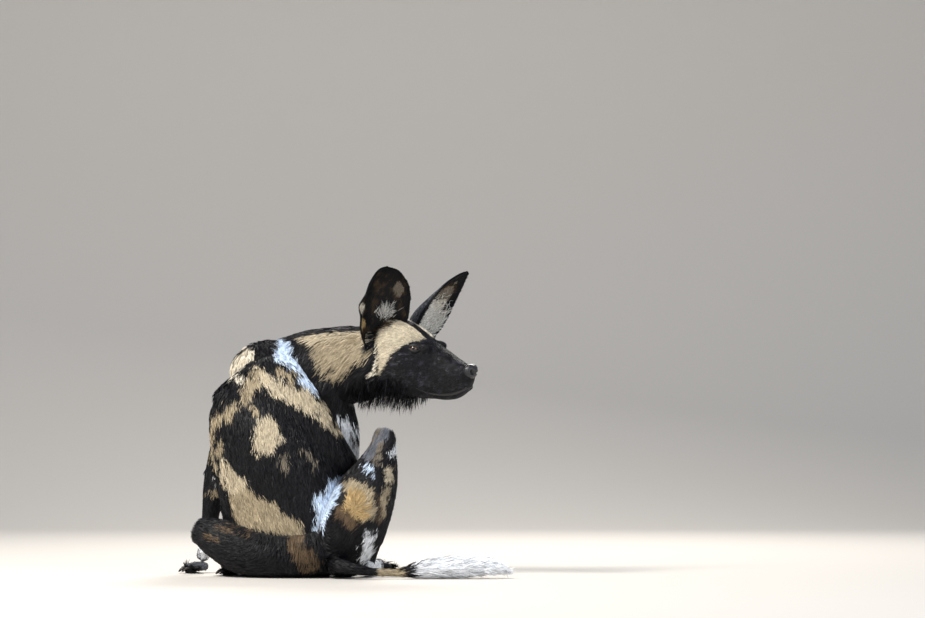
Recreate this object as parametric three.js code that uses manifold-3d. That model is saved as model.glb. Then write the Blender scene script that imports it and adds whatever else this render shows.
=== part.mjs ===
import * as THREE from "three";
import { mergeVertices } from "three/addons/utils/BufferGeometryUtils.js";
import Module from "manifold-3d";

// An african wild dog sitting with its back to the viewer, its head turned over its right shoulder.
// Millimetres, +Z up. The body is laid out with X across the view and Y away from the viewer,
// and the finished group is moved so that the middle of its floor box is the origin.

// Driving dimensions
const GAP = 0.3;
const FLOOR = 0;
const NOSE_TIP = [261, -28, 410];
const HEAD_YAW = 33;
const HEAD_ROLL = 6;
const EYE = { back: 121, side: 35, up: 50, radius: 11 };
const NOSE = { length: 25, halfWidth: 18, top: 15, bottom: -17 };
const BROW = { back: 107, side: 29, up: 50, half: [23, 12, 13] };
const MOUTH = { slot: 0.9, depth: 3.2, lip: 2.7, pout: 1.5 };
const LID = { over: 12.4, thick: 2.0, wide: 3.4, span: 64, upper: 34, lower: -26, tilt: 12 };
const NOSTRIL = { side: 7.4, up: 0.5, radius: 3.7, depth: 7, slit: 1.3 };
const EAR = { thickness: 3.4, bend: 1.15, rows: 14, columns: 12 };
const TOE = { length: 25, halfWidth: 8.6, halfHeight: 9.5 };
const CLAW = { length: 13, radius: 2.8 };

// Rows of each tube: centre x, y, z, then the half sizes to the back, front, right and left of its
// section, and the turn of the section about the tube in degrees.
const TRUNK = [
  [-70, 12, 34, 60, 76, 92, 100, -8],
  [-90, 26, 90, 84, 98, 104, 138, -12],
  [-114, 36, 150, 100, 112, 114, 146, -20],
  [-132, 48, 220, 124, 128, 114, 140, -30],
  [-140, 64, 290, 140, 138, 106, 136, -38],
  [-148, 84, 352, 132, 128, 98, 126, -40],
  [-160, 96, 398, 104, 108, 90, 116, -40],
  [-170, 104, 424, 68, 78, 64, 72, -40],
];
const BREAST = [
  [-44, 100, 396, 62, 56, 52, 62, 0],
  [-52, 118, 340, 70, 62, 66, 70, 0],
  [-52, 124, 284, 72, 62, 73, 78, 0],
  [-56, 122, 226, 66, 56, 76, 78, 0],
  [-72, 108, 180, 52, 44, 62, 66, 0],
];
const NECK = [
  [-184, 96, 398, 56, 66, 60, 60, 0],
  [-150, 104, 400, 66, 72, 70, 73, 0],
  [-106, 110, 412, 68, 76, 82, 75, 0],
  [-58, 108, 426, 68, 76, 92, 74, 0],
  [-8, 98, 434, 66, 72, 92, 71, 0],
  [34, 84, 436, 64, 66, 84, 69, 0],
  [72, 68, 438, 60, 60, 76, 66, 0],
];
// The dark ruff that hangs under the throat, as one smooth form out to its tips
const RUFF = [
  [20, 106, 365, 15, 15, 20, 22, 0],
  [42, 98, 365, 17, 17, 31, 24, 0],
  [62, 88, 365, 18, 18, 35, 24, 0],
  [82, 78, 366, 18, 18, 34, 20, 0],
  [102, 68, 366, 16, 16, 28, 14, 0],
  [124, 56, 364, 13, 13, 14, 12, 0],
];
const UPPER_ARM_RIGHT = [
  [-138, 40, 404, 42, 46, 44, 44, 0],
  [-112, 24, 362, 48, 56, 54, 52, 0],
  [-80, 22, 312, 50, 58, 53, 54, 0],
  [-46, 34, 262, 46, 50, 46, 48, 0],
  [-12, 56, 220, 36, 38, 37, 38, 0],
  [6, 78, 192, 27, 28, 28, 30, 0],
];
const FOREARM_RIGHT = [
  [4, 84, 198, 22, 25, 26, 25, 0],
  [2, 104, 150, 19, 21, 21, 20, 0],
  [-4, 132, 100, 16, 17, 17, 16, 0],
  [-8, 156, 58, 16, 17, 18, 17, 0],
  [-8, 168, 30, 15, 16, 17, 16, 0],
];
const UPPER_ARM_LEFT = [
  [-196, 140, 384, 42, 44, 38, 42, 0],
  [-222, 160, 324, 46, 50, 44, 42, 0],
  [-246, 178, 262, 38, 42, 38, 36, 0],
  [-268, 190, 206, 28, 30, 29, 29, 0],
];
const FOREARM_LEFT = [
  [-272, 190, 208, 25, 26, 25, 27, 0],
  [-278, 188, 166, 22, 23, 23, 26, 0],
  [-284, 190, 118, 18, 19, 19, 20, 0],
  [-290, 196, 68, 17, 18, 18, 18, 0],
  [-300, 200, 34, 15, 16, 16, 16, 0],
];
const THIGH_RIGHT = [
  [-18, -6, 44, 56, 64, 62, 60, 0],
  [2, -10, 96, 72, 74, 78, 66, 0],
  [30, 2, 152, 68, 64, 70, 62, 0],
  [56, 24, 206, 54, 48, 47, 46, 0],
  [70, 42, 248, 40, 36, 33, 31, 0],
  [76, 50, 277, 27, 24, 25, 25, 0],
];
const SHANK_RIGHT = [
  [79, 58, 272, 22, 22, 24, 22, 0],
  [80, 58, 230, 26, 27, 24, 24, 0],
  [78, 48, 180, 28, 28, 25, 26, 0],
  [66, 30, 120, 26, 24, 25, 26, 0],
  [50, 14, 66, 20, 19, 21, 22, 0],
  [42, 6, 30, 17, 17, 19, 19, 0],
];
const FOOT_RIGHT = [
  [43, -2, 20, 17, 18, 18, 18, 0],
  [48, 40, 18, 17, 17, 17, 17, 0],
  [56, 92, 17, 15, 16, 17, 17, 0],
  [62, 138, 16, 15, 16, 19, 19, 0],
];
const THIGH_LEFT = [
  [-56, -4, 62, 58, 60, 62, 60, 0],
  [-126, -10, 50, 56, 58, 52, 54, 0],
  [-196, 4, 58, 48, 52, 53, 56, 0],
  [-250, 28, 76, 40, 42, 44, 46, 0],
  [-282, 44, 88, 33, 34, 33, 34, 0],
];
const SHANK_LEFT = [
  [-262, 68, 74, 24, 26, 27, 27, 0],
  [-222, 86, 52, 24, 26, 26, 26, 0],
  [-176, 96, 36, 20, 22, 22, 22, 0],
  [-142, 100, 26, 18, 18, 19, 19, 0],
];
const FOOT_LEFT = [
  [-140, 104, 22, 18, 18, 19, 19, 0],
  [-176, 104, 19, 17, 17, 18, 18, 0],
  [-214, 96, 17, 16, 17, 17, 17, 0],
];
const TAIL = [
  [-26, -66, 30, 20, 20, 20, 20, 0],
  [14, -84, 22, 16, 16, 16, 16, 0],
  [58, -84, 15, 12, 12, 12, 12, 0],
  [104, -74, 13, 12, 12, 12, 12, 0],
  [150, -64, 18, 18, 18, 17, 17, 0],
  [210, -56, 22, 21, 21, 20, 20, 0],
  [272, -50, 24, 19, 19, 17, 17, 0],
  [318, -46, 16, 10, 10, 9, 9, 0],
];

// Rows of the head, from the nose back: distance behind the nose tip, height of the top and of the
// underside above the nose tip, half width, height of the widest place, and how square the section is.
const HEAD = [
  [9, 7, -21, 13, -8, 2.2],
  [18, 13, -35, 20, -12, 2.4],
  [30, 21, -46, 25, -14, 2.5],
  [45, 30, -54, 29, -14, 2.5],
  [60, 40, -57, 32, -12, 2.5],
  [76, 50, -57, 37, -8, 2.4],
  [92, 59, -55, 45, -2, 2.3],
  [107, 71, -54, 54, 4, 2.2],
  [123, 84, -53, 63, 8, 2.15],
  [141, 96, -52, 71, 12, 2.1],
  [160, 105, -52, 74, 16, 2.1],
  [180, 109, -51, 72, 20, 2.1],
  [200, 106, -48, 67, 24, 2.1],
  [218, 98, -40, 60, 28, 2.1],
];

// The line between the lips on the right side: distance behind the nose tip and height above it
const LIP_LINE = [
  [14, -29],
  [18, -31],
  [24, -35],
  [32, -38.5],
  [45, -42],
  [60, -43],
  [76, -42],
  [92, -38.5],
  [106, -32],
  [114, -26],
];

const UP = new THREE.Vector3(0, 0, 1);
const TOWARD_VIEWER = new THREE.Vector3(0, -1, 0);
const wasm = await Module();
wasm.setup();

const vec = (p) => new THREE.Vector3(p[0], p[1], p[2]);
const radians = THREE.MathUtils.degToRad;

// Catmull-Rom through rows of numbers; t runs from 0 at the first row to rows.length - 1 at the last.
function between(rows, t) {
  const last = rows.length - 1;
  const i = Math.min(Math.floor(t), last - 1);
  const f = t - i;
  const mirror = (a, b) => a.map((v, k) => 2 * v - b[k]);
  const p0 = i > 0 ? rows[i - 1] : mirror(rows[0], rows[1]);
  const p1 = rows[i];
  const p2 = rows[i + 1];
  const p3 = i + 2 <= last ? rows[i + 2] : mirror(rows[last], rows[last - 1]);
  return p1.map(
    (v, k) =>
      v +
      0.5 *
        f *
        (p2[k] -
          p0[k] +
          f *
            (2 * p0[k] -
              5 * p1[k] +
              4 * p2[k] -
              p3[k] +
              f * (3 * (p1[k] - p2[k]) + p3[k] - p0[k])))
  );
}

// A closed skin over rings of points, with a pole at each end.
function closeRings(rings, firstPole, lastPole) {
  const sides = rings[0].length;
  const points = [firstPole, ...rings.flat(), lastPole];
  const faces = [];
  const at = (i, j) => 1 + i * sides + (j % sides);
  const end = points.length - 1;
  for (let j = 0; j < sides; j++) {
    faces.push(0, at(0, j + 1), at(0, j));
    faces.push(end, at(rings.length - 1, j), at(rings.length - 1, j + 1));
    for (let i = 0; i + 1 < rings.length; i++) {
      faces.push(at(i, j), at(i, j + 1), at(i + 1, j + 1));
      faces.push(at(i, j), at(i + 1, j + 1), at(i + 1, j));
    }
  }
  const geometry = new THREE.BufferGeometry().setFromPoints(points);
  geometry.setIndex(faces);
  return geometry;
}

// A tube of changing oval section along its rows. The section's back direction is `back` made square
// to the path, and its right is square to both. Rounded caps close the ends.
function tube(rows, options = {}) {
  const { sides = 18, perRow = 2, back = TOWARD_VIEWER, grow = 0, cap = 0.7 } = options;
  const steps = (rows.length - 1) * perRow;
  const centre = (t) => vec(between(rows, t));
  const frame = (t) => {
    const small = 0.01;
    const ahead = centre(Math.min(t + small, rows.length - 1));
    const along = ahead.sub(centre(Math.max(t - small, 0))).normalize();
    const n = back.clone().addScaledVector(along, -back.dot(along)).normalize();
    n.applyAxisAngle(along, radians(between(rows, t)[7]));
    return { along, n, b: along.clone().cross(n) };
  };
  const ring = (t, scale, shift) => {
    const row = between(rows, t);
    const { along, n, b } = frame(t);
    const middle = vec(row).addScaledVector(along, shift);
    return Array.from({ length: sides }, (_, j) => {
      const angle = (2 * Math.PI * j) / sides;
      const c = Math.cos(angle) * scale;
      const s = Math.sin(angle) * scale;
      return middle
        .clone()
        .addScaledVector(n, c * ((c > 0 ? row[3] : row[4]) + grow))
        .addScaledVector(b, s * ((s > 0 ? row[5] : row[6]) + grow));
    });
  };
  const reach = (t) => cap * ((between(rows, t)[3] + between(rows, t)[4]) / 2) + grow;
  const rings = [];
  const last = rows.length - 1;
  const capSteps = [60, 30];
  for (const a of capSteps) rings.push(ring(0, Math.cos(radians(a)), -reach(0) * Math.sin(radians(a))));
  for (let i = 0; i <= steps; i++) rings.push(ring(i / perRow, 1, 0));
  for (const a of capSteps.toReversed())
    rings.push(ring(last, Math.cos(radians(a)), reach(last) * Math.sin(radians(a))));
  const pole = (t, sign) => centre(t).addScaledVector(frame(t).along, sign * reach(t));
  return closeRings(rings, pole(0, -1), pole(last, 1));
}

// Places of the head: its forward, right and up directions from yaw and roll.
const HEAD_FRAME = (() => {
  const yaw = radians(HEAD_YAW);
  const roll = radians(HEAD_ROLL);
  const forward = new THREE.Vector3(Math.cos(yaw), -Math.sin(yaw), 0);
  const levelRight = forward.clone().cross(UP);
  const up = UP.clone().multiplyScalar(Math.cos(roll)).addScaledVector(levelRight, Math.sin(roll));
  return { forward, up, right: forward.clone().cross(up) };
})();

// The place on the head that lies `back` behind the nose tip, `side` to its right and `up` above it.
function onHead(back, side, up) {
  return vec(NOSE_TIP)
    .addScaledVector(HEAD_FRAME.forward, -back)
    .addScaledVector(HEAD_FRAME.right, side)
    .addScaledVector(HEAD_FRAME.up, up);
}

// How far the surface sinks round the eye and beside the muzzle, as a share of the half width.
function faceHollow(back, side, up) {
  const eyeDistance = Math.hypot((back - EYE.back + 6) / 22, (up - EYE.up + 2) / 15);
  const socket = 0.16 * Math.exp(-eyeDistance * eyeDistance);
  const muzzleDistance = Math.hypot((back - 78) / 22, (up - 12) / 20);
  return 1 - socket - 0.09 * Math.exp(-muzzleDistance * muzzleDistance);
}

function headPoint(t, angle, grow) {
  const [back, top, bottom, half, wide, power] = between(HEAD, t);
  const soft = (v) => Math.sign(v) * Math.abs(v) ** (2 / power);
  const s = soft(Math.sin(angle));
  const up = wide + s * (s > 0 ? top - wide + grow : wide - bottom + grow);
  const side = soft(Math.cos(angle)) * (half + grow);
  return { back, side: side * faceHollow(back, side, up), up };
}

function headShell(grow) {
  const sides = 28;
  const steps = 22;
  const last = HEAD.length - 1;
  const rings = [];
  for (let i = 0; i <= steps; i++) {
    const t = (last * i) / steps;
    rings.push(
      Array.from({ length: sides }, (_, j) => {
        const p = headPoint(t, (2 * Math.PI * j) / sides, grow);
        return onHead(p.back, p.side, p.up);
      })
    );
  }
  const front = onHead(HEAD[0][0] - 4 - grow, 0, (HEAD[0][1] + HEAD[0][2]) / 2);
  const rear = onHead(HEAD[last][0] + 16 + grow, 0, (HEAD[last][1] + HEAD[last][2]) / 2);
  return closeRings(rings, front, rear);
}

const ball = (centre, radius, wide = 16, tall = 10) =>
  new THREE.SphereGeometry(radius, wide, tall).translate(centre.x, centre.y, centre.z);

// Solids and booleans
function solid(geometry) {
  const bare = geometry.clone();
  for (const name of ["normal", "uv"]) bare.deleteAttribute(name);
  const merged = mergeVertices(bare, 1e-4);
  return new wasm.Manifold(
    new wasm.Mesh({
      numProp: 3,
      vertProperties: merged.attributes.position.array,
      triVerts: new Uint32Array(merged.index.array),
    })
  );
}

const join = (...solids) => solids.reduce((a, b) => a.add(b));
const cut = (body, ...tools) => tools.reduce((a, b) => a.subtract(b), body);
const largest = (body) => body.decompose().reduce((a, b) => (b.volume() > a.volume() ? b : a));

function geometryOf(body) {
  const mesh = body.getMesh();
  const geometry = new THREE.BufferGeometry();
  geometry.setAttribute("position", new THREE.BufferAttribute(mesh.vertProperties, 3));
  geometry.setIndex(new THREE.BufferAttribute(mesh.triVerts, 1));
  geometry.computeVertexNormals();
  return geometry;
}

const group = new THREE.Group();
const BELOW = 400;
const floorCut = solid(
  new THREE.BoxGeometry(4 * BELOW, 4 * BELOW, BELOW).translate(0, 0, FLOOR - BELOW / 2)
);

function addNode(name, body, look) {
  const [color, roughness] = look;
  const material = new THREE.MeshStandardMaterial({ color, roughness, metalness: 0 });
  const mesh = new THREE.Mesh(geometryOf(largest(cut(body, floorCut))), material);
  mesh.name = name;
  group.add(mesh);
}

// Colours of the coat and of the bare parts
const LOOKS = {
  black: ["#1b1a1c", 0.8],
  tan: ["#a08a66", 0.8],
  white: ["#d9dce2", 0.8],
  face: ["#242328", 0.75],
  leather: ["#2a2c30", 0.45],
  eye: ["#5a3316", 0.1],
};

// An ear as a cupped sheet. Each row gives the share of the height, the half widths to both sides and
// how deep the middle lies behind the rims. Its thickness is laid off along the sheet's own normal.
function ear({ root, tip, facing, rows }) {
  const up = vec(tip).sub(vec(root));
  const height = up.length();
  up.normalize();
  const open = vec(facing).addScaledVector(up, -vec(facing).dot(up)).normalize();
  const across = up.clone().cross(open).normalize();
  const middle = (v, u) => {
    const t = (rows.length - 1) * v;
    const [share, left, right, depth] = between(rows, t);
    const half = Math.max(u < 0 ? left : right, 1);
    const rimward = (Math.cos(EAR.bend * u) - Math.cos(EAR.bend)) / (1 - Math.cos(EAR.bend));
    return vec(root)
      .addScaledVector(up, height * share)
      .addScaledVector(across, (half * Math.sin(EAR.bend * u)) / Math.sin(EAR.bend))
      .addScaledVector(open, -depth * rimward);
  };
  const small = 0.02;
  const sheet = (v, u, side) => {
    const low = Math.max(v - small, 0);
    const high = Math.min(v + small, 1);
    const alongRow = middle(v, Math.min(u + small, 1)).sub(middle(v, Math.max(u - small, -1)));
    const upward = middle(high, u).sub(middle(low, u));
    const normal = upward.cross(alongRow).normalize();
    if (normal.dot(open) < 0) normal.negate();
    return middle(v, u).addScaledVector(normal, (EAR.thickness / 2) * side);
  };
  const points = [];
  for (const side of [1, -1])
    for (let i = 0; i <= EAR.rows; i++)
      for (let j = 0; j <= EAR.columns; j++)
        points.push(sheet(i / EAR.rows, (2 * j) / EAR.columns - 1, side));
  const n = EAR.columns + 1;
  const layer = n * (EAR.rows + 1);
  const faces = [];
  const quad = (a, b, c, d) => faces.push(a, b, c, a, c, d);
  for (let i = 0; i < EAR.rows; i++)
    for (let j = 0; j < EAR.columns; j++) {
      const a = i * n + j;
      const b = layer + a;
      quad(a, a + 1, a + n + 1, a + n);
      quad(b, b + n, b + n + 1, b + 1);
    }
  for (let j = 0; j < EAR.columns; j++) {
    quad(j + 1, j, layer + j, layer + j + 1);
    const t = EAR.rows * n + j;
    quad(t, t + 1, layer + t + 1, layer + t);
  }
  for (let i = 0; i < EAR.rows; i++) {
    const left = i * n;
    quad(left, left + n, layer + left + n, layer + left);
    const right = i * n + EAR.columns;
    quad(right + n, right, layer + right, layer + right + n);
  }
  const geometry = new THREE.BufferGeometry().setFromPoints(points);
  geometry.setIndex(faces);
  return geometry;
}

const EAR_RIGHT = {
  root: [60, 28, 444],
  tip: [82.5, -6, 618.5],
  facing: [0.42, -0.9, 0.05],
  rows: [
    [0, 20, 22, 22],
    [0.1, 27, 33, 30],
    [0.26, 40, 54, 36],
    [0.42, 44, 61, 36],
    [0.55, 50, 62, 34],
    [0.68, 40, 61, 30],
    [0.81, 34, 55, 24],
    [0.91, 26, 42, 15],
    [0.965, 19, 31, 8],
    [0.99, 13, 21, 4],
    [1, 8, 13, 2],
  ],
};
const EAR_LEFT = {
  root: [153, 70, 488],
  tip: [242, 92, 612],
  facing: [0.72, -0.68, -0.36],
  rows: [
    [0, 26, 34, 40],
    [0.12, 29, 37, 46],
    [0.26, 33, 38, 44],
    [0.42, 36, 34, 34],
    [0.58, 35, 27, 24],
    [0.74, 30, 20, 16],
    [0.88, 20, 13, 9],
    [0.96, 12, 8, 4],
    [0.99, 7, 4, 2],
    [1, 2, 2, 1],
  ],
};

// Paw: four toes side by side in front of the foot, each with a claw.
function paw(centre, heading, spread) {
  const forward = vec([Math.cos(radians(heading)), Math.sin(radians(heading)), 0]);
  const side = forward.clone().cross(UP);
  const parts = [];
  const toes = 4;
  for (let i = 0; i < toes; i++) {
    const offset = i - (toes - 1) / 2;
    const ahead = TOE.length * (0.55 - 0.28 * Math.abs(offset) ** 1.3 / 1.7);
    const at = vec(centre).addScaledVector(side, offset * spread).addScaledVector(forward, ahead);
    const heel = at.clone().addScaledVector(forward, -TOE.length * 0.9);
    const row = (p, z, w, h) => [p.x, p.y, z, h, h, w, w, 0];
    const rows = [
      row(heel, 15, TOE.halfWidth, TOE.halfHeight),
      row(at, 13, TOE.halfWidth, TOE.halfHeight),
      row(at.clone().addScaledVector(forward, 9), 9, TOE.halfWidth - 1.2, TOE.halfHeight - 1.5),
    ];
    parts.push(solid(tube(rows, { sides: 7, perRow: 1, back: UP })));
    const root = at.clone().addScaledVector(forward, 13);
    const point = root.clone().addScaledVector(forward, CLAW.length);
    const clawRows = [
      [root.x, root.y, 10.5, CLAW.radius, CLAW.radius, CLAW.radius * 0.7, CLAW.radius * 0.7, 0],
      [(root.x + point.x) / 2, (root.y + point.y) / 2, 9, 2, 2, 1.5, 1.5, 0],
      [point.x, point.y, 4, 0.5, 0.5, 0.4, 0.4, 0],
    ];
    parts.push(solid(tube(clawRows, { sides: 4, perRow: 1, back: UP, cap: 0.3 })));
  }
  return join(...parts);
}

// Half width of the head at a distance behind the nose tip and a height, from the row's closed curve
function headSide(back, up) {
  const after = HEAD.findIndex((row) => row[0] > back);
  const f = (back - HEAD[after - 1][0]) / (HEAD[after][0] - HEAD[after - 1][0]);
  const [, top, bottom, half, wide, power] = between(HEAD, after - 1 + f);
  const share = Math.abs(up - wide) / (up > wide ? top - wide : wide - bottom);
  return half * Math.max(1 - share ** power, 0) ** (1 / power) * faceHollow(back, half, up);
}

// The path between the lips from the left corner round the front to the right corner
const lipPath = (() => {
  const right = LIP_LINE.slice(1).map(([back, up]) => [back, headSide(back, up), up]);
  const left = right.map(([back, side, up]) => [back, -side, up]).toReversed();
  return [...left, [LIP_LINE[0][0], 0, LIP_LINE[0][1]], ...right];
})();
function lipTube(tall, deep, sides) {
  const rows = lipPath.map(([back, side, up]) => {
    const p = onHead(back, side, up);
    return [p.x, p.y, p.z, tall, tall, deep, deep, 0];
  });
  return solid(tube(rows, { sides, perRow: 1, back: HEAD_FRAME.up, cap: 1 }));
}
const lips = lipTube(MOUTH.lip, MOUTH.pout, 8);
const mouthSlot = lipTube(MOUTH.slot, MOUTH.depth, 6);

// The brow as a stretched ball above and in front of the eye
function brow(sign, grow) {
  const { forward, right, up } = HEAD_FRAME;
  const [long, wide, tall] = BROW.half.map((v) => v + grow);
  const turn = new THREE.Matrix4().makeBasis(right, up, forward.clone().negate());
  const stretched = new THREE.SphereGeometry(1, 12, 8).scale(wide, tall, long).applyMatrix4(turn);
  const at = onHead(BROW.back, sign * BROW.side, BROW.up);
  return solid(stretched.translate(at.x, at.y, at.z));
}

// One lid of an eye as a roll along an arc over the ball, from corner to corner
function lid(sign, pitch) {
  const centre = onHead(EYE.back, sign * EYE.side, EYE.up);
  const { forward, right, up } = HEAD_FRAME;
  const gaze = forward.clone().multiplyScalar(0.42).addScaledVector(right, sign * 0.88);
  gaze.addScaledVector(up, 0.16).normalize();
  const fore = forward.clone().addScaledVector(gaze, -forward.dot(gaze)).normalize();
  const over = up.clone().addScaledVector(gaze, -up.dot(gaze)).normalize();
  const tilt = radians(LID.tilt);
  const along = fore.clone().multiplyScalar(Math.cos(tilt)).addScaledVector(over, -Math.sin(tilt));
  const raise = over.clone().multiplyScalar(Math.cos(tilt)).addScaledVector(fore, Math.sin(tilt));
  const steps = 8;
  const rows = Array.from({ length: steps + 1 }, (_, i) => {
    const t = (2 * i) / steps - 1;
    const yaw = radians(LID.span * t);
    const lift = radians(pitch) * Math.cos((t * Math.PI) / 2);
    const p = centre
      .clone()
      .addScaledVector(gaze, LID.over * Math.cos(yaw) * Math.cos(lift))
      .addScaledVector(along, LID.over * Math.sin(yaw) * Math.cos(lift))
      .addScaledVector(raise, LID.over * Math.sin(lift));
    const size = 0.55 + 0.45 * Math.cos((t * Math.PI) / 2);
    const [thick, wide] = [LID.thick * size, LID.wide * size];
    return [p.x, p.y, p.z, thick, thick, wide, wide, 0];
  });
  return solid(tube(rows, { sides: 6, perRow: 1, back: gaze, cap: 0.6 }));
}

// A nostril as a round hole with a slit that runs out and down from it
function nostril(sign) {
  const row = ([back, side, up], r) => {
    const p = onHead(back, sign * side, up);
    return [p.x, p.y, p.z, r, r, r, r, 0];
  };
  const { side, up, radius, depth, slit } = NOSTRIL;
  const hole = [row([-4, side, up], radius), row([2, side, up], radius), row([depth, side - 1, up + 1], radius * 0.7)];
  const tail = [row([2, side + 1, up - 1], slit), row([4, side + 6, up - 4], slit), row([9, side + 11, up - 5], slit)];
  const shape = (rows, sides) => solid(tube(rows, { sides, perRow: 1, back: HEAD_FRAME.up }));
  return join(shape(hole, 8), shape(tail, 6));
}

// Trunk and breast
const trunk = (grow) =>
  join(solid(tube(TRUNK, { sides: 26, grow })), solid(tube(BREAST, { sides: 18, grow })));
const head = (grow) => join(solid(headShell(grow)), brow(1, grow), brow(-1, grow));
const torso = trunk(0);
const torsoRoom = trunk(GAP);
const headRoom = head(GAP);

addNode("torso", torso, LOOKS.black);

const neckTube = (grow) =>
  join(solid(tube(NECK, { sides: 22, grow })), solid(tube(RUFF, { sides: 12, perRow: 1, grow })));
addNode("neck", cut(neckTube(0), torsoRoom, headRoom), LOOKS.tan);
const neckRoom = neckTube(GAP);

// Eyes and nose
const eyeAt = (sign) => onHead(EYE.back, sign * EYE.side, EYE.up);
const SIDES = { right: 1, left: -1 };
const sockets = Object.values(SIDES).map((sign) => solid(ball(eyeAt(sign), EYE.radius + GAP)));
for (const [side, sign] of Object.entries(SIDES))
  addNode("eye_" + side, solid(ball(eyeAt(sign), EYE.radius)), LOOKS.eye);

function noseLeather(grow) {
  const middle = (NOSE.top + NOSE.bottom) / 2;
  const rows = [
    [NOSE.length, NOSE.top - 1, middle, 0.8],
    [NOSE.length * 0.6, NOSE.top, NOSE.bottom + 6, 1],
    [NOSE.length * 0.25, NOSE.top - 2, NOSE.bottom + 1, 0.94],
    [2, NOSE.top - 7, NOSE.bottom + 3, 0.7],
  ].map(([back, top, bottom, wide]) => {
    const p = onHead(back, 0, (top + bottom) / 2);
    const half = (top - bottom) / 2;
    return [p.x, p.y, p.z, half, half, NOSE.halfWidth * wide, NOSE.halfWidth * wide, 0];
  });
  return solid(tube(rows, { sides: 16, back: HEAD_FRAME.up, grow, cap: 0.2 }));
}
addNode("nose", cut(noseLeather(0), nostril(1), nostril(-1)), LOOKS.leather);

// Ears, then the head with its lips, mouth and lids
const EARS = { right: EAR_RIGHT, left: EAR_LEFT };
for (const [side, shape] of Object.entries(EARS))
  addNode("ear_" + side, cut(solid(ear(shape)), headRoom, neckRoom), LOOKS.black);

const lids = Object.values(SIDES).flatMap((sign) => [lid(sign, LID.upper), lid(sign, LID.lower)]);
const face = cut(join(head(0), lips, ...lids), mouthSlot, ...sockets, noseLeather(GAP));
addNode("head", face, LOOKS.face);

// Legs: the tubes of each, and the space that its neighbours leave free
function limb(rowsOfTubes, extra = []) {
  const shape = (grow) => rowsOfTubes.map((rows) => solid(tube(rows, { sides: 13, grow })));
  return { body: join(...shape(0), ...extra), room: join(...shape(GAP)) };
}
const foreRight = limb([UPPER_ARM_RIGHT, FOREARM_RIGHT], [paw([-8, 176, 0], 85, 12)]);
const foreLeft = limb([UPPER_ARM_LEFT, FOREARM_LEFT], [paw([-312, 198, 0], 192, 12)]);
const hindRight = limb([THIGH_RIGHT, SHANK_RIGHT, FOOT_RIGHT], [paw([64, 158, 0], 80, 12)]);
const hindLeft = limb([THIGH_LEFT, SHANK_LEFT, FOOT_LEFT], [paw([-228, 92, 0], 192, 12)]);
addNode("foreleg_right", cut(foreRight.body, torsoRoom, neckRoom), LOOKS.black);
addNode("foreleg_left", cut(foreLeft.body, torsoRoom, neckRoom), LOOKS.black);
addNode("hindleg_right", cut(hindRight.body, torsoRoom, foreRight.room), LOOKS.black);
addNode("hindleg_left", cut(hindLeft.body, torsoRoom, hindRight.room, foreLeft.room), LOOKS.black);

// Tail
const tailTube = solid(tube(TAIL, { sides: 14 }));
addNode("tail", cut(tailTube, torsoRoom, hindRight.room, hindLeft.room), LOOKS.white);

// The middle of the floor box becomes the origin
const box = new THREE.Box3().setFromObject(group);
const middle = box.getCenter(new THREE.Vector3());
group.position.set(-middle.x, -middle.y, -box.min.z);

export default group;
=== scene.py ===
# %% [markdown]
# # An african wild dog, sitting
# The animal sits with its back to the camera and looks over its right shoulder. The solids of the
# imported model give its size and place. This file makes what is seen: one skin for the whole body,
# a coat of thin curved ribbons, eyes with lids, a moist nose, and claws.

# %% Load the frame
import math
import bpy
import numpy as np
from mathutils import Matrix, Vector


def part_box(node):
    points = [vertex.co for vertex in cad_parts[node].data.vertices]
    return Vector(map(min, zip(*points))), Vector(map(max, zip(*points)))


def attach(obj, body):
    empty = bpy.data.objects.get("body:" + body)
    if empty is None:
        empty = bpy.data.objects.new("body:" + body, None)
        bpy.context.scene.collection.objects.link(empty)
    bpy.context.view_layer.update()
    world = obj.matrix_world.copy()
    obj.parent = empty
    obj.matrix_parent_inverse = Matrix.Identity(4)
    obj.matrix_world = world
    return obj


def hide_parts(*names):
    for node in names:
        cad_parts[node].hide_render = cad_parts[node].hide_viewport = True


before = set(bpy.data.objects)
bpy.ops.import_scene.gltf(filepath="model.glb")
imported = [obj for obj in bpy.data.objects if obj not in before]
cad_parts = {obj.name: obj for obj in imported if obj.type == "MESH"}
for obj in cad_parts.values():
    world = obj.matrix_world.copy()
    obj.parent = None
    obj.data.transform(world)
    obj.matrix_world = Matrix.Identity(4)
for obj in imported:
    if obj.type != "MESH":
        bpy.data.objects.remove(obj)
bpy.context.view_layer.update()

# %% [markdown]
# ## The plan of the body
# Each part of the body is a tube with an oval section that changes along a path. A row of a tube
# holds the centre, the half sizes towards the viewer, away from the viewer, to one side and to the
# other, and where it has one the turn of the section. These are millimetres in the plan in which the
# solids were laid out, before their floor box was centred. Rows are easy to read and to correct one by
# one, which a sculpted mesh isn't. Each tube also has a kind of coat, and a 1 where the hair lies along
# its rows or a -1 where it lies against them.

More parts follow.
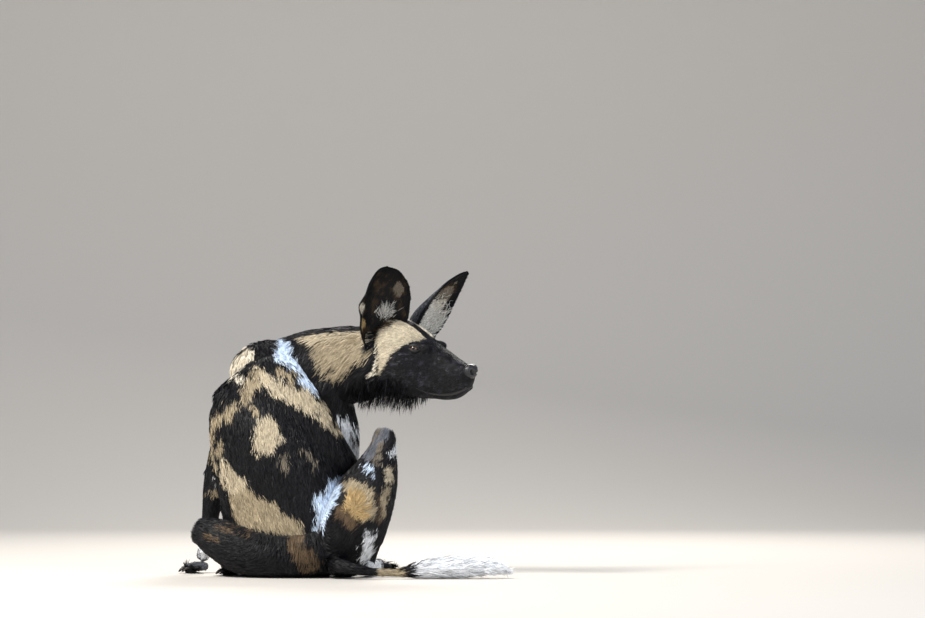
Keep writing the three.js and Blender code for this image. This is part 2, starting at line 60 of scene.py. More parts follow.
# %% Rows of the tubes
TUBES = {
    "trunk": ("body", -1, [
        [-70, 12, 34, 60, 76, 92, 100, -8], [-90, 26, 90, 84, 98, 104, 138, -12],
        [-114, 36, 150, 100, 112, 114, 146, -20], [-132, 48, 220, 124, 128, 114, 140, -30],
        [-140, 64, 290, 140, 138, 106, 136, -38], [-148, 84, 352, 132, 128, 98, 126, -40],
        [-160, 96, 398, 104, 108, 90, 116, -40], [-170, 104, 424, 68, 78, 64, 72, -40],
    ]),
    "breast": ("body", 1, [
        [-44, 100, 396, 62, 56, 52, 62], [-52, 118, 340, 70, 62, 66, 70], [-52, 124, 284, 72, 62, 73, 78],
        [-56, 122, 226, 66, 56, 76, 78], [-72, 108, 180, 52, 44, 62, 66],
    ]),
    "neck": ("neck", -1, [
        [-184, 96, 398, 56, 66, 60, 60], [-150, 104, 400, 66, 72, 70, 73], [-106, 110, 412, 68, 76, 82, 75],
        [-58, 108, 426, 68, 76, 92, 74], [-8, 98, 434, 66, 72, 92, 71], [34, 84, 436, 64, 66, 84, 69],
        [72, 68, 438, 60, 60, 76, 66],
    ]),
    "upper_arm_right": ("body", 1, [
        [-138, 40, 404, 42, 46, 44, 44], [-112, 24, 362, 48, 56, 54, 52], [-80, 22, 312, 50, 58, 53, 54],
        [-46, 34, 262, 46, 50, 46, 48], [-12, 56, 220, 36, 38, 37, 38], [6, 78, 192, 27, 28, 28, 30],
    ]),
    "forearm_right": ("leg", 1, [
        [4, 84, 198, 22, 25, 26, 25], [2, 104, 150, 19, 21, 21, 20], [-4, 132, 100, 16, 17, 17, 16],
        [-8, 156, 58, 16, 17, 18, 17], [-8, 168, 30, 15, 16, 17, 16],
    ]),
    "upper_arm_left": ("body", 1, [
        [-196, 140, 384, 42, 44, 38, 42], [-222, 160, 324, 46, 50, 44, 42],
        [-246, 178, 262, 38, 42, 38, 36], [-268, 190, 206, 28, 30, 29, 29],
    ]),
    "forearm_left": ("leg", 1, [
        [-272, 190, 208, 25, 26, 25, 27], [-278, 188, 166, 22, 23, 23, 26],
        [-284, 190, 118, 18, 19, 19, 20], [-290, 196, 68, 17, 18, 18, 18], [-300, 200, 34, 15, 16, 16, 16],
    ]),
    "thigh_right": ("thigh", 1, [
        [-18, -6, 44, 56, 64, 62, 60], [2, -10, 96, 72, 74, 78, 66], [30, 2, 152, 68, 64, 70, 62],
        [56, 24, 206, 54, 48, 47, 46], [70, 42, 248, 40, 36, 33, 31], [76, 50, 277, 27, 24, 25, 25],
    ]),
    "shank_right": ("leg", 1, [
        [79, 58, 272, 22, 22, 24, 22], [80, 58, 230, 26, 27, 24, 24], [78, 48, 180, 28, 28, 25, 26],
        [66, 30, 120, 26, 24, 25, 26], [50, 14, 66, 20, 19, 21, 22], [42, 6, 30, 17, 17, 19, 19],
    ]),
    "foot_right": ("foot", 1, [
        [43, -2, 20, 17, 18, 18, 18], [48, 40, 18, 17, 17, 17, 17], [56, 92, 17, 15, 16, 17, 17],
        [62, 138, 16, 15, 16, 19, 19],
    ]),
    "thigh_left": ("thigh", 1, [
        [-56, -4, 62, 58, 60, 62, 60], [-126, -10, 50, 56, 58, 52, 54], [-196, 4, 58, 48, 52, 53, 56],
        [-250, 28, 76, 40, 42, 44, 46], [-282, 44, 88, 33, 34, 33, 34],
    ]),
    "shank_left": ("leg", 1, [
        [-262, 68, 74, 24, 26, 27, 27], [-222, 86, 52, 24, 26, 26, 26], [-176, 96, 36, 20, 22, 22, 22],
        [-142, 100, 26, 18, 18, 19, 19],
    ]),
    "foot_left": ("foot", 1, [
        [-140, 104, 22, 18, 18, 19, 19], [-176, 104, 19, 17, 17, 18, 18], [-214, 96, 17, 16, 17, 17, 17],
    ]),
    "tail": ("tail", 1, [
        [-26, -66, 30, 20, 20, 20, 20], [14, -84, 22, 16, 16, 16, 16], [58, -84, 15, 12, 12, 12, 12],
        [104, -74, 13, 12, 12, 12, 12], [150, -64, 18, 18, 18, 17, 17], [210, -56, 22, 21, 21, 20, 20],
        [272, -50, 24, 19, 19, 17, 17], [318, -46, 16, 10, 10, 9, 9],
    ]),
}

# %% [markdown]
# The head has its own rows, because its sections all stand across one straight line from the nose
# tip to the back of the skull. A row holds the distance behind the nose tip, the heights of the top
# and the underside above the nose tip, the half width, the height of the widest place, and how square
# the section is.

# %% Rows and places of the head
HEAD = [
    [9, 7, -21, 13, -8, 2.2], [18, 13, -35, 20, -12, 2.4], [30, 21, -46, 25, -14, 2.5],
    [45, 30, -54, 29, -14, 2.5], [60, 40, -57, 32, -12, 2.5], [76, 50, -57, 37, -8, 2.4],
    [92, 59, -55, 45, -2, 2.3], [107, 71, -54, 54, 4, 2.2], [123, 84, -53, 63, 8, 2.15],
    [141, 96, -52, 71, 12, 2.1], [160, 105, -52, 74, 16, 2.1], [180, 109, -51, 72, 20, 2.1],
    [200, 106, -48, 67, 24, 2.1], [218, 98, -40, 60, 28, 2.1],
]
NOSE_TIP = np.array([261.0, -28.0, 410.0])
HEAD_YAW = math.radians(33)
HEAD_ROLL = math.radians(6)
EYE = {"back": 121, "side": 35, "up": 50, "radius": 11}
UP = np.array([0.0, 0.0, 1.0])
TOWARD_VIEWER = np.array([0.0, -1.0, 0.0])
HEAD_FORWARD = np.array([math.cos(HEAD_YAW), -math.sin(HEAD_YAW), 0.0])
LEVEL_RIGHT = np.cross(HEAD_FORWARD, UP)
HEAD_UP = UP * math.cos(HEAD_ROLL) + LEVEL_RIGHT * math.sin(HEAD_ROLL)
HEAD_RIGHT = np.cross(HEAD_FORWARD, HEAD_UP)


def on_head(back, side, up):
    """The nose tip, less `back` along the head's forward line, plus `side` to its right and `up` along
    its own up."""
    back, side, up = (np.asarray(v, float)[..., None] for v in (back, side, up))
    return NOSE_TIP - back * HEAD_FORWARD + side * HEAD_RIGHT + up * HEAD_UP


def eye_centre(sign):
    """The centre of the right eye for a sign of 1, of the left eye for -1."""
    return on_head(EYE["back"], sign * EYE["side"], EYE["up"])


low, high = (np.array(corner) * 1000 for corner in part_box("eye_right"))
SHIFT = (low + high) / 2 - eye_centre(1)
print("plan to frame, mm:", SHIFT.round(2))


def place(points):
    """A point of the plan in millimetres, moved by the plan's shift and given in metres."""
    return (np.asarray(points, float) + SHIFT) / 1000


# %% [markdown]
# ## Surfaces from rows
# One function reads any list of rows as a smooth curve, and one carries an oval along it. The result
# is a grid of points, which becomes a closed mesh with a pole at each end.

# %% Reading rows and closing grids
def between(rows, t):
    """Catmull-Rom: a cubic through rows i and i+1 whose slope at each is half the step between its two
    neighbours."""
    rows = np.asarray(rows, float)
    padded = np.vstack([2 * rows[0] - rows[1], rows, 2 * rows[-1] - rows[-2]])
    t = np.atleast_1d(np.asarray(t, float))
    i = np.clip(np.floor(t).astype(int), 0, len(rows) - 2)
    f = (t - i)[:, None]
    p0, p1, p2, p3 = (padded[i + k] for k in range(4))
    cubic = 3 * (p1 - p2) + p3 - p0
    return p1 + 0.5 * f * (p2 - p0 + f * (2 * p0 - 5 * p1 + 4 * p2 - p3 + f * cubic))


def unit(v):
    """A vector divided by its own length."""
    return v / np.maximum(np.linalg.norm(v, axis=-1, keepdims=True), 1e-9)


def full_turn(count):
    """Angles at even steps round a circle, as one row."""
    return np.linspace(0, 2 * math.pi, count, endpoint=False)[None]


def ball_angles(rings, sides):
    """The angle of each ring from the pole as a column, and the turn of each side as a row."""
    return np.linspace(0, math.pi, rings + 2)[1:-1][:, None], full_turn(sides)


def close_grid(grid, first, last):
    """Quads between neighbouring rings, and a fan of triangles from each pole to the ring next to it."""
    rings, sides = grid.shape[:2]
    points = np.vstack([first[None], grid.reshape(-1, 3), last[None]])
    i, j = np.meshgrid(np.arange(rings - 1), np.arange(sides), indexing="ij")
    k = (j + 1) % sides
    low, high = 1 + i * sides, 1 + (i + 1) * sides
    quads = np.stack([low + j, low + k, high + k, high + j], -1)
    a = np.arange(sides)
    b = (a + 1) % sides
    end = len(points) - 1
    top = 1 + (rings - 1) * sides
    fans = np.vstack([np.stack([a * 0, 1 + b, 1 + a], -1), np.stack([a * 0 + end, top + a, top + b], -1)])
    return points, [*quads.reshape(-1, 4).tolist(), *fans.tolist()]


def facing_out(points, faces):
    """All faces turned round where the volume is negative: the sum of each fan triangle's triple
    product."""
    centred = points - points.mean(axis=0)
    volume = 0.0
    for face in faces:
        p = centred[face]
        volume += sum(float(np.dot(p[0], np.cross(p[k], p[k + 1]))) for k in range(1, len(face) - 1))
    return points, faces if volume > 0 else [face[::-1] for face in faces]


def tube(rows, sides=40, per_row=8, back=TOWARD_VIEWER, grow=0.0, cap=0.7):
    """An oval carried along the rows' path. Its first axis is `back` made square to the path, its second
    the cross of the path and the first. Past each end the oval shrinks as a cosine while it moves out as
    a sine."""
    last = len(rows) - 1
    t = np.linspace(0, last, last * per_row + 1)
    ends = np.radians([75, 60, 45, 30, 15])
    t_all = np.concatenate([np.zeros(len(ends)), t, np.full(len(ends), last)])
    scale = np.concatenate([np.cos(ends), np.ones(len(t)), np.cos(ends[::-1])])[:, None]
    row = between(rows, t_all)
    small = 0.01
    ahead = between(rows, np.minimum(t_all + small, last))[:, :3]
    along = unit(ahead - between(rows, np.maximum(t_all - small, 0))[:, :3])
    n = unit(back - along * (along @ back)[:, None])
    b = np.cross(along, n)
    if row.shape[1] > 7:
        roll = np.radians(row[:, 7:8])
        n, b = n * np.cos(roll) + b * np.sin(roll), b * np.cos(roll) - n * np.sin(roll)
    reach = cap * (row[:, 3] + row[:, 4]) / 2 + grow
    out = np.concatenate([-np.sin(ends), np.zeros(len(t)), np.sin(ends[::-1])]) * reach
    centre = row[:, :3] + along * out[:, None]
    c, s = np.cos(full_turn(sides)) * scale, np.sin(full_turn(sides)) * scale
    first = c * (np.where(c > 0, row[:, 3:4], row[:, 4:5]) + grow)
    second = s * (np.where(s > 0, row[:, 5:6], row[:, 6:7]) + grow)
    grid = centre[:, None] + n[:, None] * first[..., None] + b[:, None] * second[..., None]
    return close_grid(grid, row[0, :3] - along[0] * reach[0], row[-1, :3] + along[-1] * reach[-1])


def make_object(name, points, faces):
    """One smooth mesh object at the origin, from points of the plan and lists of corner numbers."""
    mesh = bpy.data.meshes.new(name)
    mesh.from_pydata(place(points).tolist(), [], faces)
    mesh.polygons.foreach_set("use_smooth", [True] * len(mesh.polygons))
    mesh.update()
    made = bpy.data.objects.new(name, mesh)
    bpy.context.scene.collection.objects.link(made)
    print(name, len(faces), "faces")
    return made


def join_parts(parts):
    """Points stacked one after the other, with each part's corner numbers raised by the points before
    it."""
    points, faces, count = [], [], 0
    for p, f in parts:
        points.append(p)
        faces.extend([[v + count for v in face] for face in f])
        count += len(p)
    return np.vstack(points), faces


# %% [markdown]
# ## The head's surface
# The skull is a wedge with a deep, short muzzle. Two soft hollows shape it: one round each eye and one
# on each side of the muzzle below it. A real sculptor presses them in with the thumb. Here each is a
# bell curve that takes a share off the half width.

# %% Head shell
def face_hollow(back, side, up):
    """One, less a bell curve centred on the eye and another on the side of the muzzle."""
    eye = np.hypot((back - EYE["back"] + 6) / 22, (up - EYE["up"] + 2) / 15)
    muzzle = np.hypot((back - 78) / 22, (up - 12) / 20)
    return 1 - 0.16 * np.exp(-eye**2) - 0.09 * np.exp(-muzzle**2)


def head_shell(grow, sides=64, rings=90):
    """A rounded square of the row's size at each distance behind the nose, times the face's hollows."""
    row = between(HEAD, np.linspace(0, len(HEAD) - 1, rings))
    back, top, bottom, half, wide, power = (row[:, k : k + 1] for k in range(6))

    def soft(v):
        return np.sign(v) * np.abs(v) ** (2 / power)

    s = soft(np.sin(full_turn(sides)))
    up = wide + s * np.where(s > 0, top - wide + grow, wide - bottom + grow)
    side = soft(np.cos(full_turn(sides))) * (half + grow)
    side = side * face_hollow(back, side, up)
    first = on_head(HEAD[0][0] - 4 - grow, 0, (HEAD[0][1] + HEAD[0][2]) / 2)
    last = on_head(HEAD[-1][0] + 16 + grow, 0, (HEAD[-1][1] + HEAD[-1][2]) / 2)
    return close_grid(on_head(back + 0 * side, side, up), first, last)


BROW = {"back": 107, "side": 29, "up": 50, "half": (23, 12, 13)}


def brow(sign, grow, rings=16, sides=24):
    """A stretched ball above and in front of the eye, in the head's directions."""
    half = np.array(BROW["half"]) + grow
    polar, turn = ball_angles(rings, sides)
    back = BROW["back"] + half[0] * np.cos(polar) + 0 * turn
    side = sign * (BROW["side"] + half[1] * np.sin(polar) * np.cos(turn))
    up = BROW["up"] + half[2] * np.sin(polar) * np.sin(turn) * sign
    first, last = (on_head(BROW["back"] + k * half[0], sign * BROW["side"], BROW["up"]) for k in (1, -1))
    return facing_out(*close_grid(on_head(back, side, up), first, last))


# %% [markdown]
# ## Paws
# A wild dog has four toes on every foot. Each toe is a short bent tube, and the claws follow later as
# pieces of their own.

# %% Toes
TOE = {"length": 25, "half_width": 8.6, "half_height": 9.5, "spread": 12}
PAWS = {
    "fore_right": ([-8, 176, 0], 85), "fore_left": ([-312, 198, 0], 192),
    "hind_right": ([64, 158, 0], 80), "hind_left": ([-228, 92, 0], 192),
}


def toe_places():
    """Four places side by side across each paw's heading, the middle two further ahead, each with the
    heading."""
    found = []
    for centre, heading in PAWS.values():
        forward = np.array([math.cos(math.radians(heading)), math.sin(math.radians(heading)), 0.0])
        offset = np.arange(4) - 1.5
        ahead = TOE["length"] * (0.55 - 0.28 * np.abs(offset) ** 1.3 / 1.7)
        places = np.array(centre) + offset[:, None] * TOE["spread"] * np.cross(forward, UP)
        found.extend((p, forward) for p in places + ahead[:, None] * forward)
    return found


def toe_tubes(grow):
    """A tube of three rows for each toe of each paw."""
    made = []
    w, h = TOE["half_width"], TOE["half_height"]
    for p, forward in toe_places():
        heel = p - forward * TOE["length"] * 0.9
        tip = p + forward * 9
        rows = [[*heel[:2], 15, h, h, w, w], [*p[:2], 13, h, h, w, w]]
        rows.append([*tip[:2], 9, h - 1.5, h - 1.5, w - 1.2, w - 1.2])
        made.append(tube(rows, sides=20, per_row=4, back=UP, grow=grow))
    return made


# %% [markdown]
# ## One skin
# The tubes overlap like the clay lumps of a sketch. A voxel remesh turns them into one closed surface
# with an even grid of faces, and a smoothing pass melts the creases where they met. The skin lies
# inside the solids by the depth of the coat, so that the tips of the hair end where the solids do. Where
# the animal rests on the floor, the skin is pressed flat.

# %% Fuse the tubes
COAT_DEPTH = {"body": 4.6, "neck": 5.0, "leg": 2.6, "thigh": 3.8, "foot": 1.8, "tail": 7.0, "head": 1.8}
VOXEL = 0.0025
SOLE_HEIGHT = 0.0004
parts = [tube(rows, grow=-COAT_DEPTH[kind]) for kind, _, rows in TUBES.values()]
parts.append(head_shell(-COAT_DEPTH["head"]))
parts.extend(brow(sign, -COAT_DEPTH["head"]) for sign in (1, -1))
parts.extend(toe_tubes(-COAT_DEPTH["foot"] / 2))
skin = make_object("skin", *join_parts(parts))
remesh = skin.modifiers.new("fuse", "REMESH")
remesh.mode = "VOXEL"
remesh.voxel_size = VOXEL
melt = skin.modifiers.new("melt", "SMOOTH")
melt.factor = 0.5
melt.iterations = 9
lumps = skin.data
skin.data = bpy.data.meshes.new_from_object(skin.evaluated_get(bpy.context.evaluated_depsgraph_get()))
skin.modifiers.clear()
bpy.data.meshes.remove(lumps)


def read_array(items, key, width, kind=float):
    """One value of every item of a mesh as an array with a row an item."""
    values = np.empty(len(items) * width, kind)
    items.foreach_get(key, values)
    return values.reshape(-1, width)


level = read_array(skin.data.vertices, "co", 3)
level[:, 2] = np.maximum(level[:, 2], SOLE_HEIGHT)
skin.data.vertices.foreach_set("co", level.ravel())
skin.data.update()
print("skin", len(skin.data.vertices), "points", len(skin.data.polygons), "faces")

# %% [markdown]
# ## Which part is where, and how the hair lies
# Every point of the skin belongs to the tube whose path is nearest, measured in that tube's own
# half sizes. The hair lies along the paths: from the nose back over the head, down the neck and
# the back, out along each leg, and to the tip of the tail. Near a joint the directions of several paths
# mix by weight, so the lie turns smoothly.

# %% Paths of the tubes
LABELS = [*TUBES, "head"]
samples = []
for number, (_, sign, rows) in enumerate(TUBES.values()):
    t = np.linspace(0, len(rows) - 1, 6 * len(rows))
    row = between(rows, t)
    ahead = between(rows, np.minimum(t + 0.05, len(rows) - 1))[:, :3]
    behind = between(rows, np.maximum(t - 0.05, 0))[:, :3]
    samples.append([row[:, :3], unit(ahead - behind) * sign, row[:, 3:7].mean(axis=1), np.full(len(t), number)])
HEAD_SAMPLES = 60
row = between(HEAD, np.linspace(0, len(HEAD) - 1, HEAD_SAMPLES))
samples.append([
    on_head(row[:, 0], 0 * row[:, 0], row[:, 1:3].mean(axis=1)),
    np.tile(-HEAD_FORWARD + np.array([0, 0, -0.25]), (HEAD_SAMPLES, 1)),
    (row[:, 1] - row[:, 2] + 2 * row[:, 3]) / 4,
    np.full(HEAD_SAMPLES, LABELS.index("head")),
])
PATH, PATH_ALONG, PATH_RADIUS, PATH_LABEL = (np.concatenate(values) for values in zip(*samples))
PATH_ALONG = unit(PATH_ALONG)
print("path samples", len(PATH))


def read_body(points, chunk_size=20000):
    """For each point the label of the nearest path sample, in units of its radius, and the weighted mean
    of the path directions, with weights that fall as a bell curve of that distance."""
    labels, flow = [], []
    for start in range(0, len(points), chunk_size):
        chunk = points[start : start + chunk_size]
        distance = np.linalg.norm(chunk[:, None] - PATH[None], axis=2) / PATH_RADIUS[None]
        labels.append(PATH_LABEL[distance.argmin(axis=1)])
        weight = np.exp(-((distance - distance.min(axis=1, keepdims=True)) * 5.0) ** 2)
        flow.append(weight @ PATH_ALONG)
    return np.concatenate(labels), unit(np.vstack(flow))


# %% [markdown]
# ## Noise
# A coat is never even. This noise gives each corner of a cubic grid a random number from a sine hash and
# fades between the corners. Two octaves bend the edges of the blotches, and a finer one varies the tone.

# %% Value noise
def lattice(cell, seed):
    """A number from 0 to 1 for each whole-number cell: the fraction of a large sine of its three
    indices."""
    wave = np.sin(cell @ np.array([127.1, 311.7, 74.7]) + seed * 53.3) * 43758.5453
    return wave - np.floor(wave)


def noise(points, size, seed):
    """Corner values of the grid cell round each point, mixed by smooth steps; from -1 to 1."""
    p = points / size
    base = np.floor(p)
    f = p - base
    f = f * f * (3 - 2 * f)
    total = 0
    for corner in np.ndindex(2, 2, 2):
        total = total + np.where(corner, f, 1 - f).prod(axis=1) * lattice(base + corner, seed)
    return 2 * total - 1

# %% [markdown]
# ## Markings
# No two wild dogs have the same blotches. Each blotch here is a chain of discs: places across the
# view and up, in plan millimetres, with a radius. `near` blotches lie on the side that faces the
# viewer and `far` ones on the other, which the photograph hides, so those are made up after other
# animals. Each group names the parts of the body that it may touch. Later blotches cover earlier ones. A few
# blotches are painted light, not coat: a dark bluish sheen on black hair, bluish white shade on white hair, and
# one glint.

# %% Colours of the hair
HAIR = {
    "black": (0.006, 0.006, 0.008), "soft_black": (0.017, 0.016, 0.018), "tan": (0.40, 0.33, 0.22),
    "pale_tan": (0.57, 0.49, 0.355), "ochre": (0.48, 0.335, 0.155), "brown": (0.12, 0.08, 0.045),
    "cream": (0.76, 0.70, 0.58), "sand": (0.62, 0.55, 0.415), "dun": (0.20, 0.17, 0.13),
    # The dark bluish colour below is black hair with painted sheen.
    # The pale bluish white below is white hair in painted blue shade.
    "white": (0.84, 0.86, 0.89), "white_in_painted_blue_shade": (0.66, 0.78, 0.94), "painted_sheen_grey": (0.13, 0.14, 0.165),
}
HAIR = {name: np.array(colour) for name, colour in HAIR.items()}
BODY = ("trunk", "breast", "upper_arm_right", "upper_arm_left", "thigh_right", "neck")
KNEE = ("thigh_right", "shank_right")
MARKS = [
    ("near", ("neck", "head"), [
        ("pale_tan", [(-64, 486, 11), (-30, 482, 17), (30, 480, 24)]),
        ("tan", [(-42, 458, 17), (28, 458, 24)]), ("tan", [(-28, 434, 18), (8, 440, 20)]),
    ]),
    ("near", ("neck",), [("tan", [(-24, 412, 9), (-8, 416, 10)])]),
    ("near", BODY, [
        # These two bluish white chains are white hair in painted blue shade.
        ("white_in_painted_blue_shade", [(-119, 482, 13), (-124, 450, 23), (-102, 428, 13)]),
        ("white_in_painted_blue_shade", [(-100, 424, 10), (-84, 396, 6), (-66, 370, 3)]),
        ("cream", [(-230, 426, 15), (-210, 440, 15), (-196, 452, 12)]),
        ("cream", [(-222, 416, 7), (-214, 404, 5)]),
        ("tan", [(-180, 416, 9), (-192, 390, 14), (-202, 362, 8)]),
        ("pale_tan", [(-176, 418, 9), (-144, 388, 15), (-102, 374, 17), (-66, 352, 14), (-34, 318, 8),
                      (-22, 296, 5)]),
        ("tan", [(-134, 414, 7), (-110, 400, 7)]), ("tan", [(-186, 350, 8), (-178, 334, 7)]),
        ("pale_tan", [(-156, 310, 19), (-156, 286, 27)]), ("tan", [(-222, 356, 6), (-230, 338, 10)]),
        ("tan", [(-248, 332, 7), (-260, 312, 9)]), ("tan", [(-246, 288, 5), (-252, 262, 8)]),
        ("tan", [(-268, 300, 5), (-270, 230, 6)]), ("dun", [(-120, 250, 5), (-116, 232, 6)]),
        ("dun", [(-84, 262, 5), (-62, 236, 6)]), ("pale_tan", [(-246, 232, 13), (-222, 192, 21)]),
        ("tan", [(-212, 168, 22), (-186, 140, 33), (-152, 132, 28)]),
        ("tan", [(-138, 122, 21), (-104, 112, 17), (-88, 96, 11)]),
        ("brown", [(-92, 78, 14), (-80, 60, 17), (-66, 34, 14)]),
        # This bluish white chain is white hair in painted blue shade.
        ("white_in_painted_blue_shade", [(-24, 194, 13), (-38, 160, 25), (-54, 118, 12)]),
        ("tan", [(6, 174, 15), (26, 162, 21), (36, 128, 21)]), ("brown", [(-4, 118, 15), (8, 98, 13)]),
        ("ochre", [(18, 152, 15), (28, 128, 19)]),
    ]),
    ("near", KNEE, [
        # The dark bluish chain round the top of the knee is painted sheen on black hair.
        ("painted_sheen_grey", [(78, 290, 26), (58, 262, 18), (44, 232, 12)]), ("dun", [(60, 286, 5), (46, 256, 6)]),
        ("dun", [(76, 262, 5), (64, 236, 7), (54, 214, 6)]),
    ]),
    ("near", KNEE + BODY, [("brown", [(60, 152, 5), (62, 116, 7)])]),
    ("near", KNEE, [
        # The first, bluish white pair here is white hair in painted blue shade.
        ("white_in_painted_blue_shade", [(38, 212, 5), (46, 202, 6)]), ("soft_black", [(90, 280, 8), (78, 250, 5)]),
        ("white", [(102, 250, 7), (92, 238, 4)]), ("pale_tan", [(84, 202, 8), (82, 186, 7)]),
        ("tan", [(78, 166, 7), (72, 148, 8), (70, 120, 7)]),
    ]),
    ("near", (*KNEE, "foot_right"), [("white", [(44, 74, 10), (40, 52, 15), (34, 34, 12)])]),
    ("both", ("breast", "neck", "trunk"), [("white", [(-6, 322, 9), (4, 300, 16), (8, 240, 18)])]),
    ("both", ("breast",), [("soft_black", [(12, 292, 4), (14, 276, 5)])]),
    ("near", ("thigh_left",), [
        ("brown", [(-240, 98, 4), (-214, 98, 5)]), ("brown", [(-190, 98, 5), (-140, 94, 8), (-112, 84, 9)]),
        ("brown", [(-268, 82, 4), (-252, 78, 4)]),
    ]),
    ("near", ("upper_arm_left", "forearm_left"), [
        # The small white pair here is a painted glint; the tan streaks are the coat's own.
        ("white", [(-268, 204, 4), (-258, 192, 5)]), ("tan", [(-284, 172, 6), (-262, 168, 7)]),
    ]),
    ("far", BODY, [
        ("white", [(-60, 330, 34), (-70, 240, 26)]), ("tan", [(-200, 380, 26), (-230, 300, 22)]),
        ("white", [(-150, 180, 26), (-110, 150, 22)]), ("tan", [(-200, 220, 18), (-210, 160, 22)]),
    ]),
    ("far", ("neck", "head"), [("pale_tan", [(-60, 460, 30), (20, 450, 36)])]),
    ("far", ("neck", "breast"), [("white", [(-130, 440, 18), (-90, 390, 14)])]),
    ("far", KNEE, [("tan", [(70, 240, 14), (60, 180, 16)])]),
    ("far", ("thigh_left", "shank_left"), [("white", [(-250, 70, 20), (-200, 50, 16)])]),
    ("far", ("upper_arm_left", "forearm_left"), [("tan", [(-250, 250, 18), (-275, 150, 12)])]),
    ("far", ("upper_arm_right", "forearm_right"), [("white", [(0, 180, 22), (0, 110, 16)])]),
    # The dark bluish marks on the left forefoot are painted sheen on black hair.
    ("both", ("foot_left", "forearm_left"), [("painted_sheen_grey", [(-262, 26, 18), (-320, 30, 22)])]),
    ("both", ("foot_left",), [("white", [(-252, 28, 12), (-236, 22, 10)])]),
    ("both", ("forearm_left",), [("white", [(-296, 46, 12), (-292, 90, 9)])]),
    ("both", ("foot_right", "forearm_right"), [("white", [(60, 20, 16), (58, 24, 12)])]),
    ("both", ("tail",), [("tan", [(70, 12, 14), (92, 12, 13)])]),
]
BRUSH_FROM = 128
print("blotches", sum(len(blotches) for _, _, blotches in MARKS))


def chain_distance(x, z, chain):
    """Distance from each point to the nearest stretch between two discs, less the radius there, which
    fades from one disc's to the next's along the stretch."""
    best = np.full(len(x), 1e9)
    for (x0, z0, r0), (x1, z1, r1) in zip(chain[:-1], chain[1:]):
        dx, dz = x1 - x0, z1 - z0
        f = np.clip(((x - x0) * dx + (z - z0) * dz) / (dx * dx + dz * dz), 0, 1)
        best = np.minimum(best, np.hypot(x - x0 - f * dx, z - z0 - f * dz) - (r0 + f * (r1 - r0)))
    return best


# %% [markdown]
# The face has its own marks, told in the head's own distances, the same on both cheeks: a pale cheek and
# temple with a black mask in front, black round the eye, a dark stripe down the middle of the
# forehead, and a thin cream line behind the cheek.

# %% Marks of the face, and the colour of any hair
CHEEK = [
    [(186, 16, 15), (160, 56, 17), (132, 78, 20), (106, 80, 13)],
    [(166, 92, 20), (128, 94, 14)],
    [(182, 60, 18), (160, 84, 20)],
]
CHEEK_LINE = [(192, 62, 2.5), (187, 34, 4), (195, 8, 4.5), (211, 1, 4)]
EAR_BASE = {"across": 62, "height": 480, "rise": 0.73}


def head_places(points):
    """Distance behind the nose tip, to the side and up, by projecting on the head's three directions."""
    rel = points - NOSE_TIP
    return -(rel @ HEAD_FORWARD), rel @ HEAD_RIGHT, rel @ HEAD_UP


